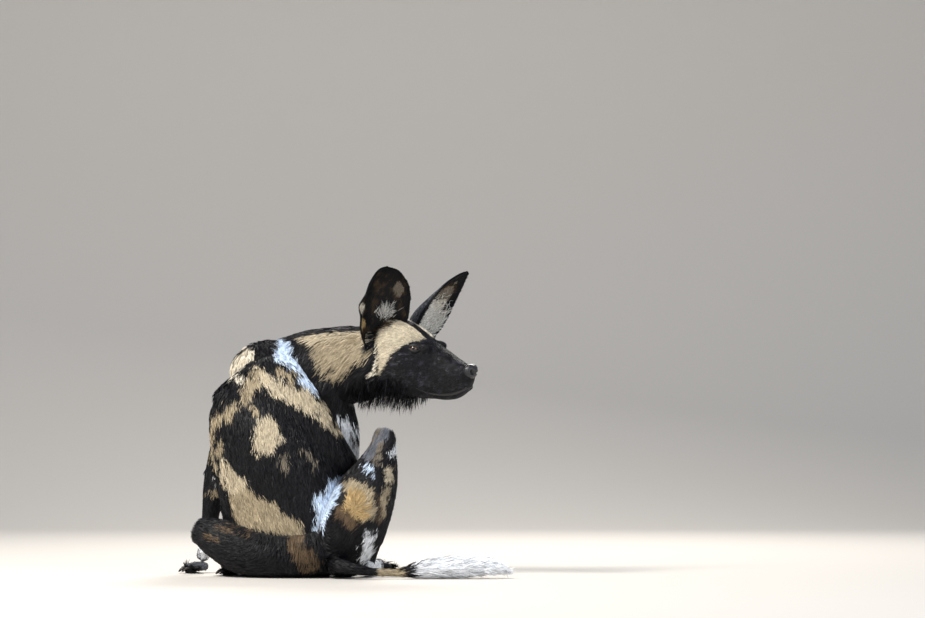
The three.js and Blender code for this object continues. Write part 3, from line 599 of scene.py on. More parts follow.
def hair_colour(points, normals, labels, rng):
    """The last mark whose bent outline holds the point wins. Each hair also draws a reach, partly at
    random and partly from a noise drawn out along the height, so that blotch edges are ragged and
    streaked as a coat's are."""
    count = len(points)
    bend = np.stack([noise(points, 26, s) * 7 + noise(points, 10, s + 5) * 3.5 for s in (1, 2)], -1)
    x, z = points[:, 0] + bend[:, 0], points[:, 2] + bend[:, 1]
    streak = noise(points * [1.0, 1.0, 0.2], 4.0, 71) + 0.6 * noise(points * [1.0, 1.0, 0.35], 9.0, 73)
    reach = rng.normal(0, 2.6, count) + streak * 6.0
    near = normals[:, 1] + 0.3 * noise(points, 34, 91) + 0.15 * noise(points, 11, 93) < 0.25
    names = list(HAIR)
    pick = np.zeros(count, int)

    def paint(where, name):
        pick[where] = names.index(name)

    faint = noise(points * [1, 1, 0.35], 9, 31) + rng.normal(0, 0.25, count)
    paint(faint > 0.55, "soft_black")
    label_name = np.array(LABELS)[labels]
    for side_seen, where, blotches in MARKS:
        seen = {"near": near, "far": ~near, "both": True}[side_seen] & np.isin(label_name, where)
        for colour, chain in blotches:
            paint(seen & (chain_distance(x, z, chain) + reach < 0), colour)
    paint((label_name == "neck") & (normals[:, 2] > 0.86) & near, "soft_black")
    paint((label_name == "tail") & (points[:, 0] + reach * 2 > BRUSH_FROM), "white")
    back, side, up = head_places(points)
    on_face = label_name == "head"
    paint(on_face, "black")
    paint(on_face & (faint > 0.6), "soft_black")
    h_back, h_up = back + bend[:, 0] * 0.6, up + bend[:, 1] * 0.6
    for chain in CHEEK:
        cheek = on_face & (chain_distance(h_back, h_up, chain) + reach * 0.35 < 0)
        paint(cheek, "sand")
        paint(cheek & (side < 0), "cream")
    eye = np.hypot((h_back - EYE["back"]) / 15, (h_up - EYE["up"] - 1) / 11) < 1
    stripe = (np.abs(side + bend[:, 0] * 0.4) < 10) & (up > 44)
    paint(on_face & (back > 196) & (up > -10) & ~stripe, "tan")
    paint(on_face & (eye | stripe), "black")
    edge = EAR_BASE["height"] + (x - EAR_BASE["across"]) * EAR_BASE["rise"]
    behind_ear = on_face & (side > 0) & (z + reach > edge) & (back > 120)
    paint(behind_ear, "soft_black")
    paint(behind_ear & (faint > 0.2), "brown")
    paint((chain_distance(back, up, CHEEK_LINE) < 0) & (back > 150) & (np.abs(side) > 30), "cream")
    tone = 1 + 0.22 * noise(points, 6, 41) + rng.normal(0, 0.16, count)
    # On the black of the face a clumpy noise brightens the hair up to seven times: partly grizzled tips, partly
    # painted sheen of glossy black hair.
    sheen = 0.9 * noise(points, 11, 47) + 1.1 * noise(points, 4.5, 49) + rng.normal(0, 0.35, count)
    mask = on_face & (pick <= names.index("soft_black"))
    tone = np.where(mask, 0.8 + 4.5 * np.clip(sheen, 0, 2) ** 2, tone)
    return np.array(list(HAIR.values()))[pick] * np.clip(tone, 0.45, 7.0)[:, None]


# %% [markdown]
# ## Colour on the skin
# The skin carries the same markings as the hair on it, a little darker, as the roots of a coat are in
# shade. They are kept in a colour attribute, one value a point.

# %% Paint the skin
SKIN_SHADE = 0.6


def write_colours(mesh, colours):
    """One linear colour a point, in the attribute that the materials read."""
    layer = mesh.color_attributes.new("hair_colour", "FLOAT_COLOR", "POINT")
    rgba = np.ones((len(colours), 4), np.float32)
    rgba[:, :3] = colours
    layer.data.foreach_set("color", rgba.ravel())


rng = np.random.default_rng(7)
skin_points = read_array(skin.data.vertices, "co", 3) * 1000 - SHIFT
skin_normals = read_array(skin.data.vertices, "normal", 3)
skin_labels, skin_flow = read_body(skin_points)
write_colours(skin.data, hair_colour(skin_points, skin_normals, skin_labels, rng) * SKIN_SHADE)
print({name: int((skin_labels == number).sum()) for number, name in enumerate(LABELS)})

# %% [markdown]
# ## Ears
# The ear of a wild dog is a big rounded cup, thin at the rim. It is a grid from root to tip: each row is
# an arc that curls towards the opening, and the whole sheet is given a thickness by a second grid
# behind the first. The two are joined along the rim, so the cup is closed. A spot inside the cup has a
# colour, its place across and up, and its half sizes. The long hairs inside, the fluff, have a count,
# a middle and a spread up and across, and a range of tone.

# %% Ear cups
EAR = {"thickness": 3.0, "bend": 1.15, "inset": 1.5}
EARS = {
    "right": {
        "root": [60, 28, 444], "tip": [82.5, -6, 618.5], "facing": [0.42, -0.9, 0.05],
        "rows": [
            [0, 20, 22, 22], [0.1, 27, 33, 30], [0.26, 40, 54, 36], [0.42, 44, 61, 36], [0.55, 50, 62, 34],
            [0.68, 40, 61, 30], [0.81, 34, 55, 24], [0.91, 26, 42, 15], [0.965, 19, 31, 8],
            [0.99, 13, 21, 4], [1, 8, 13, 2],
        ],
        "spots": [
            ("dun", 0.60, 0.74, 0.14, 0.09), ("cream", -0.74, 0.51, 0.25, 0.07),
            ("ochre", -0.66, 0.315, 0.26, 0.06),
        ],
        "fluff": {"count": 220, "up": (0.45, 0.045), "across": (0.30, 0.11), "tone": (0.25, 1.0)},
    },
    "left": {
        "root": [153, 70, 488], "tip": [242, 92, 612], "facing": [0.72, -0.68, -0.36],
        "rows": [
            [0, 26, 34, 40], [0.12, 29, 37, 46], [0.26, 33, 38, 44], [0.42, 36, 34, 34], [0.58, 35, 27, 24],
            [0.74, 30, 20, 16], [0.88, 20, 13, 9], [0.96, 12, 8, 4], [0.99, 7, 4, 2], [1, 2, 2, 1],
        ],
        "spots": [("dun", 0.15, 0.64, 0.42, 0.16), ("cream", 0.35, 0.26, 0.6, 0.26)],
        # The far ear's long hairs are drawn brighter than the near ear's: painted sunlight on them.
        "fluff": {"count": 1800, "up": (0.19, 0.13), "across": (0.25, 0.45), "tone": (0.85, 1.15)},
    },
}


def ear_frame(ear):
    """The ear's directions: up from root to tip, open as the facing made square to up, across as their
    cross."""
    up = np.array(ear["tip"], float) - ear["root"]
    height = np.linalg.norm(up)
    up = up / height
    facing = np.array(ear["facing"], float)
    opening = unit(facing - up * (facing @ up))
    return up, opening, np.cross(up, opening), height


def ear_sheet(ear, v, u):
    """A row gives the share of the height, the half widths to the left and right and the depth of the
    cup. Across it a point lies at sin(bend u) / sin(bend) of the half width, and behind the rims by the
    depth times a cosine."""
    up, opening, across, height = ear_frame(ear)
    row = between(ear["rows"], (len(ear["rows"]) - 1) * v.ravel()).reshape(*v.shape, 4)
    half = np.maximum(np.where(u < 0, row[..., 1], row[..., 2]) - EAR["inset"], 0.6)
    bend = EAR["bend"]
    rimward = (np.cos(bend * u) - math.cos(bend)) / (1 - math.cos(bend))
    x = half * np.sin(bend * u) / math.sin(bend)
    tall = row[..., 0] * (height - EAR["inset"])
    deep = -row[..., 3] * rimward
    return np.array(ear["root"]) + tall[..., None] * up + x[..., None] * across + deep[..., None] * opening


def ear_share(ear, v):
    """The share of the ear's height at which the row parameter v stands."""
    return between(ear["rows"], (len(ear["rows"]) - 1) * v)[:, 0]


def ear_shell(ear, rows=44, columns=40):
    """Front and back grids half a thickness apart along the sheet's normal, thin at the rim, closed by
    border quads."""
    v, u = np.meshgrid(np.linspace(0, 1, rows + 1), np.linspace(-1, 1, columns + 1), indexing="ij")
    sheet = ear_sheet(ear, v, u)
    normal = unit(np.cross(np.gradient(sheet, axis=0), np.gradient(sheet, axis=1)))
    normal = normal * np.sign((normal @ ear_frame(ear)[1]).mean())
    rim = np.clip(1 - np.maximum(np.abs(u), v) ** 8, 0.25, 1)[..., None]
    offset = normal * EAR["thickness"] / 2 * rim
    n = columns + 1
    a = (np.arange(rows)[:, None] * n + np.arange(columns)[None]).ravel()
    layer = n * (rows + 1)
    low, left = np.arange(columns), np.arange(rows) * n
    top, right = rows * n + low, left + columns
    quads = [
        (a, a + 1, a + n + 1, a + n), (a + layer, a + n + layer, a + n + 1 + layer, a + 1 + layer),
        (low + 1, low, low + layer, low + 1 + layer), (top, top + 1, top + 1 + layer, top + layer),
        (left, left + n, left + n + layer, left + layer), (right + n, right, right + layer, right + n + layer),
    ]
    faces = [face for corners in quads for face in np.stack(corners, -1).tolist()]
    points = np.vstack([(sheet + offset).reshape(-1, 3), (sheet - offset).reshape(-1, 3)])
    return *facing_out(points, faces), v.ravel(), u.ravel()


ear_shells = {side_name: ear_shell(ear) for side_name, ear in EARS.items()}
print("ear cups", {side_name: len(shell[0]) for side_name, shell in ear_shells.items()}, "points")


# %% [markdown]
# ## Tufts
# The coat is solid mesh: thin curved blades, each a bundle of hairs. A blade is a ribbon with three
# stretches that narrows to a point. It starts just under the skin, leans along the lie of the coat, and bends
# back down to it, so that it overlaps its neighbours like a tile. All blades of a piece are
# worked out at once, as arrays with one row a blade.

# %% Blades
STEPS = np.array([0.0, 0.34, 0.7, 1.0])
TAPER = np.array([0.8, 1.0, 0.66, 0.0])
# Along a blade the colour runs from 0.55 at the root to 1.18 at the tip: painted shade where the coat covers
# the root, lighter towards the tip.
PAINTED_ROOT_SHADE = np.array([0.55, 0.85, 1.06, 0.55, 0.85, 1.06, 1.18])
CORNERS = np.array([[0, 0], [0, 0.4], [0, 0.8], [1, 0], [1, 0.4], [1, 0.8], [0.5, 1]]) - 0.5
UNWRAP_CELLS = 11
PATCH = 0.003
HAIR_FLOOR = 0.6


def triangle_areas(triangles):
    """Half the length of the cross of two edges, in square millimetres."""
    a, b, c = (skin_points[triangles[:, k]] for k in range(3))
    return np.linalg.norm(np.cross(b - a, c - a), axis=1) / 2


def sample(triangles, count):
    """Random places on triangles of the skin chosen by area: corner shares (1 - √a), √a (1 - b), √a b.
    Returned as a function that mixes the corner values of a list by these shares."""
    area = triangle_areas(triangles)
    chosen = rng.choice(len(triangles), count, p=area / area.sum())
    root = np.sqrt(rng.random(count))[:, None]
    other = rng.random(count)[:, None]
    shares = np.hstack([1 - root, root * (1 - other), root * other])
    return lambda values: (values[triangles[chosen]] * shares[..., None]).sum(axis=1)


def unwrap(points, normals, labels):
    """One cell of a square grid for each pair of body part and main direction of the normal; within it
    the two other coordinates, scaled to the cell."""
    axis = np.abs(normals).argmax(axis=1)
    sign = (np.take_along_axis(normals, axis[:, None], 1)[:, 0] > 0).astype(int)
    cell = labels * 6 + axis * 2 + sign
    lowest = points.min(axis=0)
    span = (points.max(axis=0) - lowest).max()
    others = np.array([[1, 2], [0, 2], [0, 1]])[axis]
    flat = np.take_along_axis(points - lowest, others, 1) / span
    corner = np.stack([cell % UNWRAP_CELLS, cell // UNWRAP_CELLS], -1)
    return (corner + 0.05 + 0.88 * flat) / UNWRAP_CELLS


def blades(name, roots, normals, flow, length, width, lift, colours, uv, sink=1.2):
    """Each blade: root less the sink, then along the flow by length times step, and off the skin by lift
    x length x step x (1 - 0.75 step). The ribbon's side is the cross of normal and flow, rolled a little.
    What would go into the floor lies on it."""
    count, each = len(roots), len(PAINTED_ROOT_SHADE)
    flow = unit(flow - normals * (flow * normals).sum(axis=1, keepdims=True))
    swing, roll, curl = (rng.normal(0, spread, count)[:, None] for spread in (0.16, 0.45, 0.10))
    flow = unit(flow + np.cross(normals, flow) * swing)
    across = np.cross(normals, flow)
    side = across * np.cos(roll) + normals * np.sin(roll)
    rise = lift[:, None] * length[:, None] * STEPS * (1 - 0.75 * STEPS) - sink * (1 - STEPS) ** 2
    step = STEPS[None, :, None]
    bow = across[:, None] * (curl * length[:, None])[:, None] * step**2
    centre = roots[:, None] + flow[:, None] * (length[:, None, None] * step)
    centre = centre + normals[:, None] * rise[..., None] + bow
    half = (side[:, None] * (width[:, None] / 2 * TAPER)[..., None])[:, :3]
    points = np.concatenate([centre[:, :3] - half, centre[:, :3] + half, centre[:, 3:]], axis=1)
    points[..., 2] = np.maximum(points[..., 2], HAIR_FLOOR)
    base = np.arange(count)[:, None] * each
    quads = np.concatenate([base + [0, 3, 4, 1], base + [1, 4, 5, 2]])
    tips = base + [2, 5, 6]
    loops = np.concatenate([quads.ravel(), tips.ravel()])
    sizes = np.concatenate([np.full(len(quads), 4), np.full(len(tips), 3)])
    mesh = bpy.data.meshes.new(name)
    mesh.vertices.add(count * each)
    mesh.vertices.foreach_set("co", place(points.reshape(-1, 3)).ravel())
    mesh.loops.add(len(loops))
    mesh.loops.foreach_set("vertex_index", loops)
    mesh.polygons.add(len(sizes))
    mesh.polygons.foreach_set("loop_start", np.concatenate([[0], np.cumsum(sizes)[:-1]]))
    mesh.polygons.foreach_set("use_smooth", np.ones(len(sizes), bool))
    mesh.update(calc_edges=True)
    write_colours(mesh, (colours[:, None] * PAINTED_ROOT_SHADE[None, :, None]).reshape(-1, 3))
    patch = uv[:, None] + CORNERS[None] * PATCH
    mesh.uv_layers.new(name="OFBake").data.foreach_set("uv", patch.reshape(-1, 2)[loops].ravel())
    made = bpy.data.objects.new(name, mesh)
    bpy.context.scene.collection.objects.link(made)
    print(name, count, "blades", count * 5, "triangles")
    return made

# %% [markdown]
# ## How long and how dense
# Hair is shortest on the face and feet and longest on the neck, the throat and the tail's brush. One table
# holds, for each part, the length, width and lift of its blades, how many stand on a square centimetre,
# and how much they droop.

# %% Coat of each part
KIND = {name: kind for name, (kind, _, _) in TUBES.items()} | {"head": "head"}
COAT = {
    "body": {"length": 19, "width": 1.5, "lift": 0.30, "per_cm2": 34, "droop": 0.25},
    "neck": {"length": 24, "width": 1.5, "lift": 0.34, "per_cm2": 34, "droop": 0.75},
    "thigh": {"length": 15, "width": 1.4, "lift": 0.28, "per_cm2": 36, "droop": 0.1},
    "leg": {"length": 9, "width": 1.1, "lift": 0.26, "per_cm2": 48, "droop": 0.1},
    "foot": {"length": 5.5, "width": 0.9, "lift": 0.26, "per_cm2": 60, "droop": 0.0},
    "tail": {"length": 34, "width": 1.5, "lift": 0.50, "per_cm2": 70, "droop": 0.0},
    "head": {"length": 7, "width": 0.9, "lift": 0.30, "per_cm2": 74, "droop": 0.1},
}
GROUPS = {
    "coat_trunk": ("trunk",),
    "coat_neck": ("neck", "breast"),
    "coat_head": ("head",),
    "coat_forequarter": ("upper_arm_right", "upper_arm_left", "forearm_right", "forearm_left"),
    "coat_haunches": ("thigh_right", "thigh_left"),
    "coat_hind_feet": ("shank_right", "shank_left", "foot_right", "foot_left"),
    "coat_tail": ("tail",),
}
MOST_BLADES = 39000
FLOOR_MARGIN = 1.5
WHORL = np.array([22.0, -62.0, 140.0])
skin.data.calc_loop_triangles()
triangles = read_array(skin.data.loop_triangles, "vertices", 3, np.int32)
triangle_label = skin_labels[triangles[:, 0]]
triangle_cm2 = triangle_areas(triangles) / 100
print("skin area", round(float(triangle_cm2.sum())), "cm2,", len(triangles), "triangles")


def lie_of_hair(points, flow, droop):
    """The mean path direction, mixed near the haunch's whorl with the direction away from its centre by a
    bell curve, and drawn down by the part's droop."""
    away = points - WHORL
    share = 0.7 * np.exp(-((np.linalg.norm(away, axis=1) / 34) ** 2))[:, None]
    return unit(flow * (1 - share) + unit(away) * share + np.array([0.0, 0.0, -droop]))


def hair_of(member):
    """What `blades` needs for one part, a row a blade. On the head the length grows with the distance
    behind the nose, on the legs it shrinks with the height, and on the tail it grows to the brush and
    shrinks at the tip."""
    number, style = LABELS.index(member), COAT[KIND[member]]
    mine = triangle_label == number
    count = int(triangle_cm2[mine].sum() * style["per_cm2"]) // 1
    if count == 0:
        return []
    at = sample(triangles[mine], count)
    p, n = at(skin_points), unit(at(skin_normals))
    lie = lie_of_hair(p, at(skin_flow), style["droop"])
    length = style["length"] * rng.uniform(0.7, 1.3, count)
    back, side, up = head_places(p)
    if member == "head":
        clear = (np.hypot((back - EYE["back"]) / 13, (up - EYE["up"]) / 9) > 1) & (back > 20)
        length *= np.clip((back - 10) / 110, 0.45, 1.5) + np.clip((back - 150) / 30, 0, 1.8)
        p, n, lie, length, back, side, up = (values[clear] for values in (p, n, lie, length, back, side, up))
    if member in ("neck", "head"):
        by_line = (chain_distance(back, up, CHEEK_LINE) < 5) & (side > 30)
        length = np.where(by_line, np.minimum(length, 7), length)
    if member.startswith(("foot", "forearm", "shank")):
        length *= np.clip(p[:, 2] / 70, 0.45, 1)
    if member == "tail":
        length *= np.clip((p[:, 0] - 40) / 110, 0.4, 1.0) * np.clip(1 - (p[:, 0] - 250) / 160, 0.5, 1.0)
    width = style["width"] * rng.uniform(0.7, 1.3, len(p))
    lift = style["lift"] * rng.uniform(0.6, 1.5, len(p))
    low_down = p[:, 2] - np.abs(lie[:, 2]) * length < FLOOR_MARGIN
    lie[low_down, 2] = np.maximum(lie[low_down, 2], 0)
    keep = (p[:, 2] > 2.5) | (n[:, 2] > -0.5)
    label = np.full(len(p), number)
    values = (p, n, lie, length, width, lift, hair_colour(p, n, label, rng), unwrap(p, n, label))
    return [each[keep] for each in values]


coat_pieces = []
for group_name, members in GROUPS.items():
    arrays = [np.concatenate(values) for values in zip(*filter(None, map(hair_of, members)))]
    order = rng.permutation(len(arrays[0]))
    pieces = -(-len(order) // MOST_BLADES)
    for k in range(pieces):
        name = group_name if pieces == 1 else f"{group_name}_{k + 1}"
        coat_pieces.append(blades(name, *(values[order[k::pieces]] for values in arrays)))

# %% [markdown]
# Under the throat hangs a dark ruff of long locks, and long white hairs fill the ears. They are the same
# blades, longer, rooted in chosen places.

# %% Ruff, ear hair
RUFF = {"back": (128, 252), "height": (330, 400), "length": (22, 44), "width": 2.4, "count": 900}


def ruff():
    """Roots on the underside of the jaw and throat where the normal points down; the locks hang down and
    back."""
    tri_back = head_places(skin_points)[0][triangles].mean(axis=1)
    tri_z = skin_points[triangles, 2].mean(axis=1)
    mine = skin_normals[triangles, 2].mean(axis=1) < -0.35
    for values, (least, most) in ((tri_back, RUFF["back"]), (tri_z, RUFF["height"])):
        mine &= (values > least) & (values < most)
    at = sample(triangles[mine], RUFF["count"])
    p, n = at(skin_points), unit(at(skin_normals))
    count = len(p)
    down = np.tile([-0.22, -0.05, -1.0], (count, 1)) + rng.normal(0, 0.18, (count, 3))
    length = rng.uniform(*RUFF["length"], count) * np.clip((head_places(p)[0] - 96) / 70, 0.35, 1)
    colours = HAIR["black"] * rng.uniform(0.7, 1.5, (count, 1))
    width = RUFF["width"] * rng.uniform(0.6, 1.2, count)
    lift = rng.normal(0, 0.12, count)
    uv = unwrap(p, n, np.full(count, LABELS.index("head")))
    return blades("coat_ruff", p, unit(np.cross(down, [0.0, 1.0, 0.0])), down, length, width, lift, colours, uv)


def ear_tones(side_name, u, h, grain):
    """Tones of the inner face by place: u across from -1 to 1, h as share of the height. Dark, with a
    brown middle, the ear's spots and a black rim, which the near ear's pale pocket breaks."""
    tone = np.where((grain > 0.35)[:, None], HAIR["brown"] * 0.35, HAIR["soft_black"] * 0.45)
    for colour, u0, h0, du, dh in EARS[side_name]["spots"]:
        tone[np.hypot((u - u0) / du, (h - h0) / dh) + grain * 0.35 < 1] = HAIR[colour]
    rim = (np.abs(u) > 0.9) | (h > 0.93)
    if side_name == "right":
        rim &= ~((u < 0) & (np.abs(h - 0.51) < 0.05))
    tone[rim] = HAIR["black"]
    return tone


def ear_coat(side_name):
    """Short dark blades on both faces of the cup that lie from root to rim, and long pale ones inside
    near the root. The directions up and across a face are the differences of the sheet over small
    steps."""
    ear = EARS[side_name]
    fluff = ear["fluff"]
    rows = []
    for face, count in (("front", 8000), ("back", 8000), ("long", fluff["count"])):
        v, u = rng.random(count), rng.uniform(-1, 1, count)
        if face == "long":
            table = np.linspace(0, 1, 60)
            wanted = np.clip(rng.normal(*fluff["up"], count), 0.02, 0.85)
            v = np.interp(wanted, ear_share(ear, table), table)
            u = np.clip(rng.normal(*fluff["across"], count), -0.85, 0.9)
        here, share = ear_sheet(ear, v, u), ear_share(ear, v)
        du = ear_sheet(ear, v, np.clip(u + 0.02, -1, 1)) - ear_sheet(ear, v, np.clip(u - 0.02, -1, 1))
        dv = ear_sheet(ear, np.clip(v + 0.01, 0, 1), u) - ear_sheet(ear, np.clip(v - 0.01, 0, 1), u)
        normal = unit(np.cross(dv, du))
        normal = normal * np.sign(normal @ ear_frame(ear)[1])[:, None]
        grain = noise(here, 9, 61)
        if face == "back":
            normal = -normal
            rim = (np.abs(u) > 0.88) | (share > 0.9)
            # The back of the ear is a dark bluish tone, painted sheen on black hair, with a black rim.
            tone = np.where(rim[:, None], HAIR["black"], HAIR["painted_sheen_grey"] * (0.8 + 0.5 * grain)[:, None])
            flow, length, lift = unit(dv), rng.uniform(4, 7, count), rng.uniform(0.06, 0.2, count)
        elif face == "front":
            tone = ear_tones(side_name, u, share, grain)
            flow = unit(dv) + unit(du) * 0.5 * u[:, None]
            length, lift = rng.uniform(4, 8, count), rng.uniform(0.05, 0.25, count)
        else:
            tone = np.array([0.90, 0.88, 0.83]) * rng.uniform(*fluff["tone"], (count, 1))
            flow = unit(dv) + unit(du) * rng.normal(0.2, 0.6, count)[:, None]
            length, lift = rng.uniform(9, 20, count), rng.uniform(0.2, 0.7, count)
        uv = unwrap(here, normal, np.full(count, len(LABELS) + list(EARS).index(side_name)))
        width = rng.uniform(0.7, 1.1, count)
        tone = tone * rng.uniform(0.7, 1.3, (count, 1))
        rows.append([here + normal * EAR["thickness"] / 2, normal, flow, length, width, lift, tone, uv])
    return blades("coat_ear_" + side_name, *(np.concatenate(values) for values in zip(*rows)), sink=0.8)


coat_pieces.append(ruff())
coat_pieces.extend(ear_coat(side_name) for side_name in EARS)

# %% [markdown]
# The ear shells are joined to the skin, so that one piece stands for all the flesh.

# %% Ears onto the skin
bpy.ops.object.select_all(action="DESELECT")
for side_name, (points, faces, v, u) in ear_shells.items():
    cup = make_object("ear_shell_" + side_name, points, faces)
    colours = np.tile(HAIR["black"], (len(points), 1))
    front = len(points) // 2
    # The inner face takes the tones of its hair, darker by 0.7: painted shade under the coat, as on the skin.
    colours[:front] = 0.7 * ear_tones(side_name, u, ear_share(EARS[side_name], v), noise(points[:front], 9, 61))
    write_colours(cup.data, colours)
    cup.select_set(True)
skin.select_set(True)
bpy.context.view_layer.objects.active = skin
bpy.ops.object.join()
print("skin with ears", len(skin.data.polygons), "faces")

# %% [markdown]
# ## Eyes
# An eye is a ball with a clear bulge in front of the iris. The iris is coloured by its distance from the
# centre of the opening, with fine rays. The lids are two curved rolls of skin that lie over the ball
# and meet in the corners.

# %% Eyeballs
GAZE = {1: (0.42, 0.88, 0.16), -1: (0.42, -0.88, 0.16)}
SIDES = {1: "right", -1: "left"}


def gaze_axis(sign):
    """The direction in which an eye looks, from its shares of the head's forward, right and up."""
    forward, side, up = GAZE[sign]
    return unit(forward * HEAD_FORWARD + side * HEAD_RIGHT + up * HEAD_UP)


def eyeball(sign):
    """A sphere round the gaze axis whose radius grows by a bell curve within the iris: the clear
    bulge."""
    centre, axis = eye_centre(sign), gaze_axis(sign)
    a = unit(np.cross(axis, UP))
    b = np.cross(axis, a)
    polar, turn = ball_angles(48, 48)
    radius = EYE["radius"] + 0.7 * np.exp(-((polar / 0.5) ** 4)) - 0.3
    ring = radius * np.sin(polar)
    grid = centre + (radius * np.cos(polar) + 0 * turn)[..., None] * axis
    grid = grid + (ring * np.cos(turn))[..., None] * a + (ring * np.sin(turn))[..., None] * b
    ends = (centre + axis * (EYE["radius"] + 0.4), centre - axis * (EYE["radius"] - 0.3))
    points, faces = facing_out(*close_grid(grid, *ends))
    angle = np.arccos(np.clip(unit(points - centre) @ axis, -1, 1))
    around = np.arctan2((points - centre) @ b, (points - centre) @ a)
    rays = 0.75 + 0.25 * np.sin(around * 37) * np.sin(around * 13 + 1)
    iris = np.array([0.17, 0.092, 0.05])[None] * rays[:, None] * np.clip(0.5 + angle / 0.9, 0, 1.3)[:, None]
    colours = np.where((angle < 0.24)[:, None], [0.004, 0.004, 0.004], iris)
    colours = np.where((angle > 0.60)[:, None], [0.03, 0.02, 0.018], colours)
    made = make_object("eyeball_" + SIDES[sign], points, faces)
    write_colours(made.data, colours)
    return made


eyeballs = {sign: eyeball(sign) for sign in SIDES}

# %% Lids
LID = {"radius": 12.6, "thick": 2.0, "half_span": 64, "tilt": 12, "upper": 34, "lower": -26}


def lid(sign, pitch):
    """A roll along an arc over the ball: yaw runs from corner to corner, and pitch opens as a cosine of
    it."""
    centre, axis = eye_centre(sign), gaze_axis(sign)
    across = unit(np.cross(UP, axis)) * sign
    over = np.cross(axis, across) * sign
    tilt = math.radians(LID["tilt"])
    fore = across * math.cos(tilt) - over * math.sin(tilt)
    over = over * math.cos(tilt) + across * math.sin(tilt)
    t = np.linspace(-1, 1, 40)
    open_share = np.cos(t * math.pi / 2)
    yaw, pitch = np.radians(LID["half_span"]) * t, np.radians(pitch) * open_share**0.8
    away = (np.cos(yaw) * np.cos(pitch))[:, None] * axis
    away = away + (np.sin(yaw) * np.cos(pitch))[:, None] * fore + np.sin(pitch)[:, None] * over
    path = centre + away * LID["radius"]
    along = unit(np.gradient(path, axis=0))
    outward = unit(away - along * (away * along).sum(axis=1, keepdims=True))
    thick = LID["thick"] * (0.45 + 0.55 * open_share**0.5)[:, None]
    angle = full_turn(12)
    grid = path[:, None] + (np.cos(angle) * thick)[..., None] * outward[:, None]
    grid = grid + (np.sin(angle) * thick * 1.7)[..., None] * np.cross(along, outward)[:, None]
    return facing_out(*close_grid(grid, path[0], path[-1]))


lids = []
for sign, side_name in SIDES.items():
    rolls = [lid(sign, LID[edge]) for edge in ("upper", "lower")]
    lids.append(make_object("lids_" + side_name, *join_parts(rolls)))

# %% [markdown]
# ## Lips
# The mouth is shut. Its line runs from under the nose back along each cheek. Two thin rolls of dark
# moist skin lie along it, and the gap between them is the line of the mouth.

# %% Lip rolls
LIP_LINE = [
    [14, -29], [18, -31], [24, -35], [32, -38.5], [45, -42],
    [60, -43], [76, -42], [92, -38.5], [106, -32], [114, -26],
]
LIP = {"apart": 1.35, "tall": 1.3, "deep": 1.6, "sunk": 2.4}


def head_side(back, up):
    """Half width of the head's row at a distance back and a height: half (1 - share^power)^(1/power),
    times the hollow."""
    row = between(HEAD, np.interp(back, [row[0] for row in HEAD], np.arange(len(HEAD))))
    top, bottom, half, wide, power = (row[:, k] for k in range(1, 6))
    share = np.abs(up - wide) / np.where(up > wide, top - wide, wide - bottom)
    return half * np.clip(1 - share**power, 0, 1) ** (1 / power) * face_hollow(back, half, up)


def lip_roll(shift):
    """A tube along the lip line on both cheeks, moved up or down by the shift."""
    back, up = np.array(LIP_LINE, float).T
    side = np.maximum(head_side(back, up) - LIP["sunk"], 0)
    side[0] = 0
    back[0] += 1.5
    path = np.vstack([on_head(back, -side, up + shift)[:0:-1], on_head(back, side, up + shift)])
    size = 1 - 0.45 * np.abs(np.linspace(-1, 1, len(path))) ** 4
    half = np.array([LIP["tall"], LIP["tall"], LIP["deep"], LIP["deep"]])
    rows = np.hstack([path, half * size[:, None]])
    return facing_out(*tube(rows, sides=12, per_row=6, back=HEAD_UP, cap=1))


lips = make_object("lips", *join_parts([lip_roll(LIP["apart"]), lip_roll(-LIP["apart"])]))

# %% [markdown]
# ## Nose
# The nose leather is a rounded pad with two comma-shaped nostrils and a groove between them. A grid over
# the pad is pushed in by bell curves at the nostrils and along the groove.

# %% Nose leather
NOSE = {"length": 25, "half_width": 18, "top": 15, "bottom": -17}


def nose():
    """A superellipsoid in the head's directions: half sizes from the nose's length, width and height. Its
    points move back by bell curves centred on each nostril and on the middle groove."""
    polar, turn = ball_angles(60, 72)

    def soft(x, power):
        return np.sign(x) * np.abs(x) ** power

    fore = soft(np.cos(polar), 0.9) + 0 * turn
    side = soft(np.sin(polar), 0.8) * soft(np.cos(turn), 0.85)
    up = soft(np.sin(polar), 0.8) * soft(np.sin(turn), 0.85)
    under = np.clip(-up, 0, 1)
    front = np.clip(fore + 0.55, 0, 1)
    reach = NOSE["length"] / 2
    back = reach - 1 - fore * reach + 4.5 * under
    y = side * (NOSE["half_width"] * (1 - 0.28 * under) * (1 - 0.12 * fore))
    z = up * ((NOSE["top"] - NOSE["bottom"]) / 2) + (NOSE["top"] + NOSE["bottom"]) / 2 + 1.0
    for sign in SIDES:
        hole = np.exp(-(((y - sign * 8.2) / 4.6) ** 2) - ((z - 0.25 * (sign * y - 7.6)) / 4.6) ** 2)
        slit = np.exp(-(((y - sign * 12.5) / 4.6) ** 2) - ((z + 3.6) / 1.5) ** 2)
        back = back + 12.0 * hole**1.4 * front + 2.0 * slit * front
        y = y - sign * 2.2 * slit * front
    back = back + 1.6 * np.exp(-((y / 0.9) ** 2)) * (z < 3) * np.clip(fore, 0, 1)
    first, last = (on_head(back[end].mean(), 0, z[end].mean()) for end in (0, -1))
    return make_object("nose_leather", *facing_out(*close_grid(on_head(back, y, z), first, last)))


nose_piece = nose()

# %% [markdown]
# ## Claws
# Each claw is a short dark cone that bends down to the ground, flattened from side to side.

